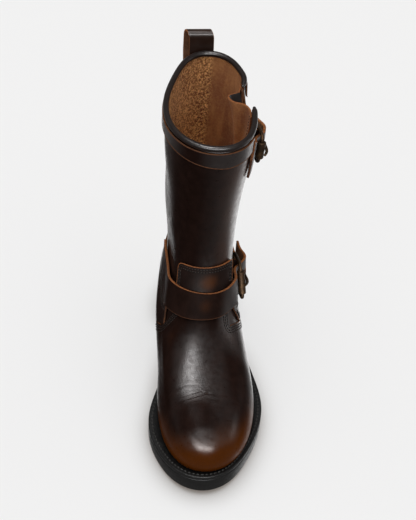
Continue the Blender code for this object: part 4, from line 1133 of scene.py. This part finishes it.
class Strap:
    """A strap round the upper that ends in a roller buckle, by its two edges."""

    def __init__(self, name, low_edge, top_edge, start, roller, step):
        self.name = name
        self.low_edge = height_edge(low_edge)
        self.top_edge = height_edge(top_edge)
        self.start = np.radians(start)
        self.roller = np.radians(roller)
        self.step = step
        turn = 0.02
        ends = self.line(self.roller + np.array((-turn, turn)), np.zeros(2))
        self.rate = np.linalg.norm(ends[1] - ends[0]) / (2.0 * turn)
        low, high = (upper_point(level, self.roller) for level in self.levels(self.roller))
        self.half = np.linalg.norm(high - low) / 2.0
        self.across = (high - low) / (2.0 * self.half)

    def levels(self, angles):
        """Levels of the low and top edge."""
        return level_at(angles, self.low_edge(angles)), level_at(angles, self.top_edge(angles))

    def line(self, angles, height, share=0.5):
        """Points over the upper, at a share of the way from the low to the top edge."""
        low, high = self.levels(angles)
        return lifted(low + (high - low) * share, angles, height)

    def at(self, places, share=0.5):
        """Points along the strap, by distance behind the roller and height."""
        behind, height = np.array(places, float).T
        return self.line(self.roller + behind / self.rate, height, share)

    def add_billet(self):
        run, rise = np.array(BILLET).T
        free = self.roller + run / self.rate
        laid = np.linspace(self.start, free[0], max(24, int((free[0] - self.start) / 0.025)))[:-1]
        angles = np.concatenate((laid, np.linspace(free[0], free[-1], 90)))
        height = STRAP_LINE + spline(free, rise, angles) + strap_step(self.step, angles)
        levels, turned = panel(angles, *self.levels(angles), BILLET_ROWS)
        grid = lifted(levels, turned, height)[:, ::-1]
        turned = turned[:, ::-1]
        along = (turned - self.roller) * self.rate
        share = np.linspace(-1.0, 1.0, BILLET_ROWS)[:, None]
        hole = (along > HOLE_ENDS[0]) & (along < HOLE_ENDS[1]) & (np.abs(self.half * share) < HOLE_HALF)
        degrees = np.degrees(turned)
        warm = BILLET_WARM.at(degrees) * BILLET_MIDDLE.at(share)
        worn = BILLET_WORN.at(np.abs(share))
        masks = {
            "burnish": np.clip(warm + worn, 0.0, 1.0),
            # painted shade on the strap's low edge
            "dyed": np.broadcast_to(BILLET_LOW_EDGE_SHADE * (share < 0.0), degrees.shape),
            "dull": BILLET_DULL + BILLET_GLOSS.at(degrees),
        }
        add_sheet(
            f"{self.name}_billet", grid, STRAP_THICK, BOTH_WAYS, STRAP_SHEET,
            f"{self.name}_strap", masks, ~hole[:-1, :-1],
        )

    def add_chape(self):
        straight = self.at(np.concatenate((round_bar(WRAP, -75.0, 75.0, 17), CHAPE_OVER)))
        bar = self.at([(FRAME_LENGTH, BAR_HEIGHT)])[0]
        width = np.linspace(-1.0, 1.0, 25) * (self.half - WIRE_RADIUS)
        rows = []
        for side in width:
            sewn = self.at(CHAPE_UNDER, 0.5 + side / (2.0 * self.half))
            rows.append(smooth_line(np.concatenate((sewn, straight + side * self.across)), 120))
        path = rows[len(width) // 2]
        near = np.linalg.norm(path - bar, axis=1) < HOOK + PRONG_RADIUS + PRONG_PLAY
        hole = near[None] & (np.abs(width)[:, None] < HOLE_HALF)
        add_sheet(
            f"{self.name}_chape_strip", np.array(rows), CHAPE_THICK, BOTH_WAYS, CHAPE_SHEET,
            f"{self.name}_chape", CHAPE_MASKS, ~hole[:-1, :-1], bevel=THIN_BEVEL,
        )

    def add_buckle(self):
        roller, bar = self.at(((0.0, ROLLER_HEIGHT), (FRAME_LENGTH, BAR_HEIGHT)))
        reach = self.half + FRAME_PLAY + WIRE_RADIUS - FRAME_CORNER
        back = unit(bar - roller)
        quarter = np.radians(np.linspace(0.0, 90.0, 9))
        corners = (
            (roller, -back, 1.0, quarter), (bar, back, 1.0, quarter[::-1]),
            (bar, back, -1.0, quarter), (roller, -back, -1.0, quarter[::-1]),
        )
        line = []
        for end, along, side, turned in corners:
            middle = end - along * FRAME_CORNER + side * reach * self.across
            for angle in turned:
                spoke = np.cos(angle) * along + np.sin(angle) * side * self.across
                line.append(middle + FRAME_CORNER * spoke)
        out = np.cross(self.across, back)
        add_ring(f"{self.name}_wire", line, WIRE_RADIUS, BRASS, f"{self.name}_frame", 18, out)
        self.add_roller(roller, back)
        hook = round_bar(HOOK, -20.0, -270.0, 21)
        path = smooth_line(self.at(np.concatenate((hook, PRONG_RUN))), 60)
        taper = PRONG_RADIUS * np.interp(np.arange(60), (50, 59), (1.0, PRONG_TIP))
        add_tube(f"{self.name}_tongue", path, taper, BRASS, f"{self.name}_prong", 16, self.across)

    def add_roller(self, centre, back):
        half = self.half - ROLLER_PLAY
        bore = WIRE_RADIUS + SEAT_GAP
        shoulder = ROLLER_RADIUS - ROLLER_SOFT
        profile = (
            (bore, -half), (shoulder, -half), (ROLLER_RADIUS, -half + ROLLER_SOFT), (ROLLER_RADIUS, 0.0),
            (ROLLER_RADIUS, half - ROLLER_SOFT), (shoulder, half), (bore, half), (bore, -half),
        )
        count = 40
        spin = 2.0 * np.pi * np.arange(count)[:, None] / count
        spokes = np.cos(spin) * back + np.sin(spin) * np.cross(self.across, back)
        rings = [centre + height * self.across + radius * spokes for radius, height in profile]
        mesh = make_mesh("roller", np.concatenate(rings), ring_faces(len(rings), count))
        mesh.set_sharp_from_angle(angle=SHARP)
        add_piece(f"{self.name}_roll", mesh, (BRASS,), f"{self.name}_roller")


LOOP_MIDDLE = 0.6  # to the outer side
LOOP_WIDTH = 22.5
LOOP_RISE = 22.0  # top of the loop over the collar
LOOP_SEWN = 30.0  # both legs run this far down the shaft
LOOP_THICK = 1.8
LOOP_FOLD = 3.8
LOOP_SKEW = 5.0  # the outer leg lies this far to the inner side of the other


def add_pull_loop():
    """Strip folded a little askew, with both legs sewn to the outside of the shaft."""
    rim = upper_point(TOPLINE, np.pi)
    foot = upper_point(level_under_rim(np.pi, LOOP_SEWN), np.pi)
    rim[0] = foot[0] = LOOP_MIDDLE
    backwards = np.array((0.0, -1.0, 0.0))
    upwards = np.array((0.0, 0.0, 1.0))
    near = LAYER_GAP + OVERLAY + LAYER_GAP + LOOP_THICK / 2.0
    sewn = near + LOOP_THICK + SEAT_GAP
    top = rim + (near + LOOP_FOLD) * backwards + (LOOP_RISE - LOOP_FOLD) * upwards
    path = [foot + near * backwards, rim + near * backwards]
    for turn in np.radians(np.linspace(180.0, 0.0, 17)):
        path.append(top + LOOP_FOLD * (np.cos(turn) * backwards + np.sin(turn) * upwards))
    path.append(rim + (near + 2.0 * LOOP_FOLD) * backwards)
    path.append((rim + foot) / 2.0 + (sewn + 0.8) * backwards)
    path.append(foot + sewn * backwards)
    path = np.array(path)
    path[:, 0] += LOOP_SKEW * np.interp(np.arange(len(path)), (1, 19), (0.5, -0.5))
    path = even_line(path, 0.8)
    for _ in range(8):
        path[1:-1] = (path[:-2] + 2.0 * path[1:-1] + path[2:]) / 4.0
    width = np.linspace(-0.5, 0.5, 25) * LOOP_WIDTH
    grid = path[None] + width[:, None, None] * np.array((1.0, 0.0, 0.0))
    add_sheet(
        "loop_strip", grid, LOOP_THICK, BOTH_WAYS, LOOP_SHEET, "pull_loop", LOOP_MASKS,
        bevel=THIN_BEVEL,
    )


# Sole


def plan_outline(angle, reach):
    turn = 0.002
    run = unit((upper_point(0.0, angle + turn) - upper_point(0.0, angle - turn))[..., :2])
    outwards = np.stack((-run[..., 1], run[..., 0]), axis=-1)
    return upper_point(0.0, angle)[..., :2] + outwards * np.asarray(reach, float)[..., None]


def welt_reach(angle):
    degrees, reach = np.array(WELT_REACH).T
    return spline(degrees, reach, (np.degrees(angle) + 180.0) % 360.0 - 180.0)


SOLE_POINTS = 240
SOLE_ANGLES = 2.0 * np.pi * np.arange(SOLE_POINTS) / SOLE_POINTS
EDGE_ROUND = 1.2
WELT_ROUND = 0.8  # low edge of the welt
WELT_SEAM_END = 118.0  # degrees, where the welt's seam ends on both sides
WELT_SEAM_INSET = 3.6  # from the welt's edge
WELT_SEAM_LEAST = 1.4  # from the upper
WELT_SEAM_RISE = 0.25
SHARP = np.radians(40.0)


def sole_ring(reach, surface, rise=0.0):
    """Ring at a reach past the upper's foot, and at a rise over a surface of the sole."""
    plan = plan_outline(SOLE_ANGLES, reach)
    return np.column_stack((plan, surface(plan[:, 1]) + rise))


def quarter_round(size, count=5):
    """Insets and drops of a rounded edge."""
    angles = np.radians(np.linspace(0.0, 90.0, count))
    return [(size * (1.0 - np.sin(a)), size * (1.0 - np.cos(a))) for a in angles]


def cap_faces(first, count):
    half = count // 2
    faces = [(first, first + 1, first + count - 1)]
    for j in range(1, half - 1):
        faces.append((first + j, first + j + 1, first + count - j - 1, first + count - j))
    faces.append((first + half - 1, first + half, first + half + 1))
    return faces


def sole_mesh(name, rings):
    """Mesh of rings of the sole with both ends closed."""
    faces = ring_faces(len(rings), SOLE_POINTS)
    faces += [tuple(reversed(face)) for face in cap_faces(0, SOLE_POINTS)]
    faces += cap_faces((len(rings) - 1) * SOLE_POINTS, SOLE_POINTS)
    return make_mesh(name, np.concatenate(rings), faces)


GROOVE_WIDTH = 3.5
GROOVE_DEPTH = 1.8
TREAD_MIDDLE = 3.0
# Grooves across the tread: place and half length
TREAD_ROWS = ((112.0, 30.0), (124.0, 34.0), (136.0, 37.0), (148.0, 38.0), (160.0, 37.0), (172.0, 35.0))
BOX_FACES = ((0, 1, 3, 2), (4, 6, 7, 5), (0, 4, 5, 1), (2, 3, 7, 6), (0, 2, 6, 4), (1, 5, 7, 3))


def cut_tread(outsole):
    """Grooves across the forefoot."""
    points, faces = [], []
    for fwd, half in TREAD_ROWS:
        first = len(points)
        for x in (TREAD_MIDDLE - half, TREAD_MIDDLE + half):
            for y in (fwd, fwd + GROOVE_WIDTH):
                points += [(x, y, -GROOVE_DEPTH), (x, y, GROOVE_DEPTH)]
        faces += [tuple(first + k for k in face) for face in BOX_FACES]
    cutter = link("grooves", make_mesh("grooves", points, faces))
    cutting = outsole.modifiers.new("grooves", "BOOLEAN")
    cutting.operation = "DIFFERENCE"
    cutting.solver = "EXACT"
    cutting.object = cutter
    graph = bpy.context.evaluated_depsgraph_get()
    grooved = bpy.data.meshes.new_from_object(outsole.evaluated_get(graph))
    outsole.modifiers.clear()
    outsole.data = grooved
    grooved.set_sharp_from_angle(angle=SHARP)
    bpy.data.objects.remove(cutter)


def add_outsole():
    reach = welt_reach(SOLE_ANGLES)
    top = -WELT_THICK - SEAT_GAP
    rings = [sole_ring(reach - inset, sole_top, top - drop) for inset, drop in quarter_round(EDGE_ROUND)]
    for inset, rise in reversed(quarter_round(2.0 * EDGE_ROUND)):
        rings.append(sole_ring(reach - inset, tread_line, rise))
    cut_tread(add_piece("outsole_body", sole_mesh("outsole", rings), (RUBBER,), "outsole"))


def add_welt():
    reach = welt_reach(SOLE_ANGLES)
    under = np.full(SOLE_POINTS, -WELT_INSET)
    rings = [sole_ring(under, sole_top)]
    rings += [sole_ring(reach - inset, sole_top, -drop) for inset, drop in quarter_round(EDGE_ROUND)]
    for inset, rise in reversed(quarter_round(WELT_ROUND)):
        rings.append(sole_ring(reach - inset, sole_top, rise - WELT_THICK))
    rings += [sole_ring(under, sole_top, -WELT_THICK), sole_ring(under, sole_top)]
    mesh = make_mesh("welt", np.concatenate(rings), ring_faces(len(rings), SOLE_POINTS))
    add_piece("welt_strip", mesh, (RUBBER,), "welt")
    angles = np.radians(np.linspace(-WELT_SEAM_END, WELT_SEAM_END, 600))
    plan = plan_outline(angles, np.maximum(welt_reach(angles) - WELT_SEAM_INSET, WELT_SEAM_LEAST))
    line = np.column_stack((plan, sole_top(plan[:, 1]) + WELT_SEAM_RISE))
    up = np.tile((0.0, 0.0, 1.0), (len(line), 1))
    add_stitches("welt_stitches", [(line, up)], WELT_STITCH, BLACK_THREAD)


def add_insole():
    inset = np.full(SOLE_POINTS, -INSOLE_INSET)
    rings = [sole_ring(inset, sole_top, INSOLE_RISE), sole_ring(inset, sole_top, -WELT_THICK)]
    mesh = sole_mesh("insole", rings)
    mesh.set_sharp_from_angle(angle=SHARP)
    add_piece("insole_sheet", mesh, (BOARD,), "insole")


HEEL_SPAN = 59.5
HEEL_TAPER = 2.0
BREAST_BOW = 3.5


def add_heel():
    top = HEEL_HEIGHT - SEAT_GAP
    angles = np.radians(np.linspace(180.0 - HEEL_SPAN, 180.0 + HEEL_SPAN, 121))
    layers = [(HEEL_TAPER + inset, up) for inset, up in quarter_round(EDGE_ROUND)]
    layers += [(HEEL_TAPER / 2.0, top / 2.0), (0.0, top)]
    share = np.linspace(0.0, 1.0, 26)[1:-1, None]
    bow = np.sin(np.pi * share) * np.array((0.0, -BREAST_BOW))
    rings = []
    for inset, up in layers:
        plan = plan_outline(angles, welt_reach(angles) - inset)
        breast = plan[-1] + (plan[0] - plan[-1]) * share + bow
        ring = np.concatenate((plan, breast))
        rings.append(np.column_stack((ring, np.full(len(ring), up))))
    mesh = make_mesh("heel", np.concatenate(rings), bar_faces(len(rings), len(rings[0])))
    mesh.set_sharp_from_angle(angle=SHARP)
    add_piece("heel_block", mesh, (RUBBER,), "heel")


# Floor, lights and camera


def add_ground(name, low, high, up, finish):
    """Flat sheet on the floor, by two corners."""
    mesh = bpy.data.meshes.new(name)
    (left, front), (right, back) = low, high
    corners = ((left, front, up), (right, front, up), (right, back, up), (left, back, up))
    mesh.from_pydata(corners, [], [(0, 1, 2, 3)])
    mesh.materials.append(finish)
    made = link(name, mesh)
    return made


FLOOR_COLOUR = (0.25, 0.25, 0.25)
FLOOR_GLOW = 0.62
FLOOR_HALF = 6.0  # metres
SHADE_COLOUR = (0.24, 0.205, 0.175)
SHADE_REACH = 0.03  # metres round the boot in which the floor is dimmer
# Corners of the card beside the boot's inner side, in metres
CARD_LOW = (-0.34, -0.32)
CARD_HIGH = (-0.07, 0.10)
CARD_UP = 0.0005


def add_floor():
    """Pale glowing floor, dimmer close to the boot, and a dark card that shows only in gloss."""
    n = Nodes("floor")
    near = n.add("ShaderNodeAmbientOcclusion", {"Distance": SHADE_REACH}, samples=16).outputs["AO"]
    shade = n.mix(n.spread(near, 0.25, 0.97), SHADE_COLOUR, (1.0, 1.0, 1.0))
    glow = n.set(
        Base_Color=FLOOR_COLOUR, Roughness=1.0, Specular_IOR_Level=0.0, Emission_Color=shade,
        Emission_Strength=FLOOR_GLOW,
    )
    floor = add_ground("floor", (-FLOOR_HALF, -FLOOR_HALF), (FLOOR_HALF, FLOOR_HALF), 0.0, glow)
    floor.visible_glossy = False
    dark = plain("card", (0.004, 0.003, 0.003), 1.0)
    card = add_ground("card", CARD_LOW, CARD_HIGH, CARD_UP, dark)
    card.visible_camera = card.visible_diffuse = card.visible_shadow = False


# Lamps, in metres and watts. A glossy one shows in glossy surfaces alone, the other one only fills.
Softbox = namedtuple("Softbox", "name where target size power glossy")
SOFTBOXES = (
    Softbox("toe_gloss", (-0.20, -1.72, 1.10), (0.0, -0.2, 0.05), (1.9, 0.36), 96.0, True),
    Softbox("instep_gloss", (-0.27, -0.30, 1.9), (0.0, -0.15, 0.08), (0.7, 0.6), 45.0, True),
    Softbox("rim_gloss", (0.35, 0.70, -0.72), (0.0, -0.1, 0.12), (1.5, 1.2), 10.0, True),
    Softbox("side_gloss", (1.8, -0.12, 0.42), (0.0, -0.12, 0.1), (0.6, 0.5), 4.5, True),
    Softbox("ceiling", (0.0, 0.0, 3.2), (0.0, 0.0, 0.0), (6.0, 6.0), 172.0, False),
)
WORLD_COLOUR = (0.82, 0.80, 0.79, 1.0)
WORLD_STRENGTH = 0.34


def add_lights():
    world = bpy.data.worlds.new("studio")
    world.use_nodes = True
    sky = world.node_tree.nodes["Background"]
    sky.inputs["Color"].default_value = WORLD_COLOUR
    sky.inputs["Strength"].default_value = WORLD_STRENGTH
    bpy.context.scene.world = world
    bpy.context.scene.view_settings.view_transform = "Standard"
    for box in SOFTBOXES:
        light = bpy.data.lights.new(box.name, "AREA")
        light.shape = "RECTANGLE"
        light.size, light.size_y = box.size
        light.energy = box.power
        made = link(box.name, light)
        made.location = box.where
        made.rotation_euler = (Vector(box.target) - Vector(box.where)).to_track_quat("-Z", "Y").to_euler()
        made.visible_glossy = box.glossy
        made.visible_diffuse = not box.glossy


CAMERA_PLACE = (-0.076, -0.831, 0.895)
CAMERA_AIM = (0.018, 0.701, -0.713)
FOCAL_PIXELS = 1166.0
SENSOR = 24.0
IMAGE_HEIGHT = 520.0
BOOT_OFFSET = (69.0, -8.0)  # the boot's middle in the photo, right of and above the picture's middle


def add_camera():
    """The photo's camera, turned so that the one boot stands in the middle."""
    aim = Vector(CAMERA_AIM).normalized()
    right = aim.cross(Vector((0.0, 0.0, 1.0))).normalized()
    down = aim.cross(right)
    new = (aim * FOCAL_PIXELS + right * BOOT_OFFSET[0] + down * BOOT_OFFSET[1]).normalized()
    turn = aim.rotation_difference(new).to_matrix()
    axes = Matrix((turn @ right, turn @ -down, -new)).transposed()
    data = bpy.data.cameras.new("camera")
    data.sensor_fit = "VERTICAL"
    data.sensor_height = SENSOR
    data.lens = FOCAL_PIXELS * SENSOR / IMAGE_HEIGHT
    camera = link("camera", data)
    camera.matrix_world = Matrix.Translation(CAMERA_PLACE) @ axes.to_4x4()
    bpy.context.scene.camera = camera


add_outsole()
add_welt()
add_insole()
add_heel()
add_upper()
add_vamp()
add_counter()
add_patch()
add_band()
add_binding()
add_gusset()
add_pull_loop()
for strap in (
    Strap("instep", STRAP_LOW, STRAP_TOP, start=-112.0, roller=68.0, step=STRAP_STEP),
    Strap("top", ADJUSTER_LOW, ADJUSTER_TOP, start=47.0, roller=70.0, step=LEVEL),
):
    strap.add_billet()
    strap.add_chape()
    strap.add_buckle()
add_floor()
add_lights()
add_camera()
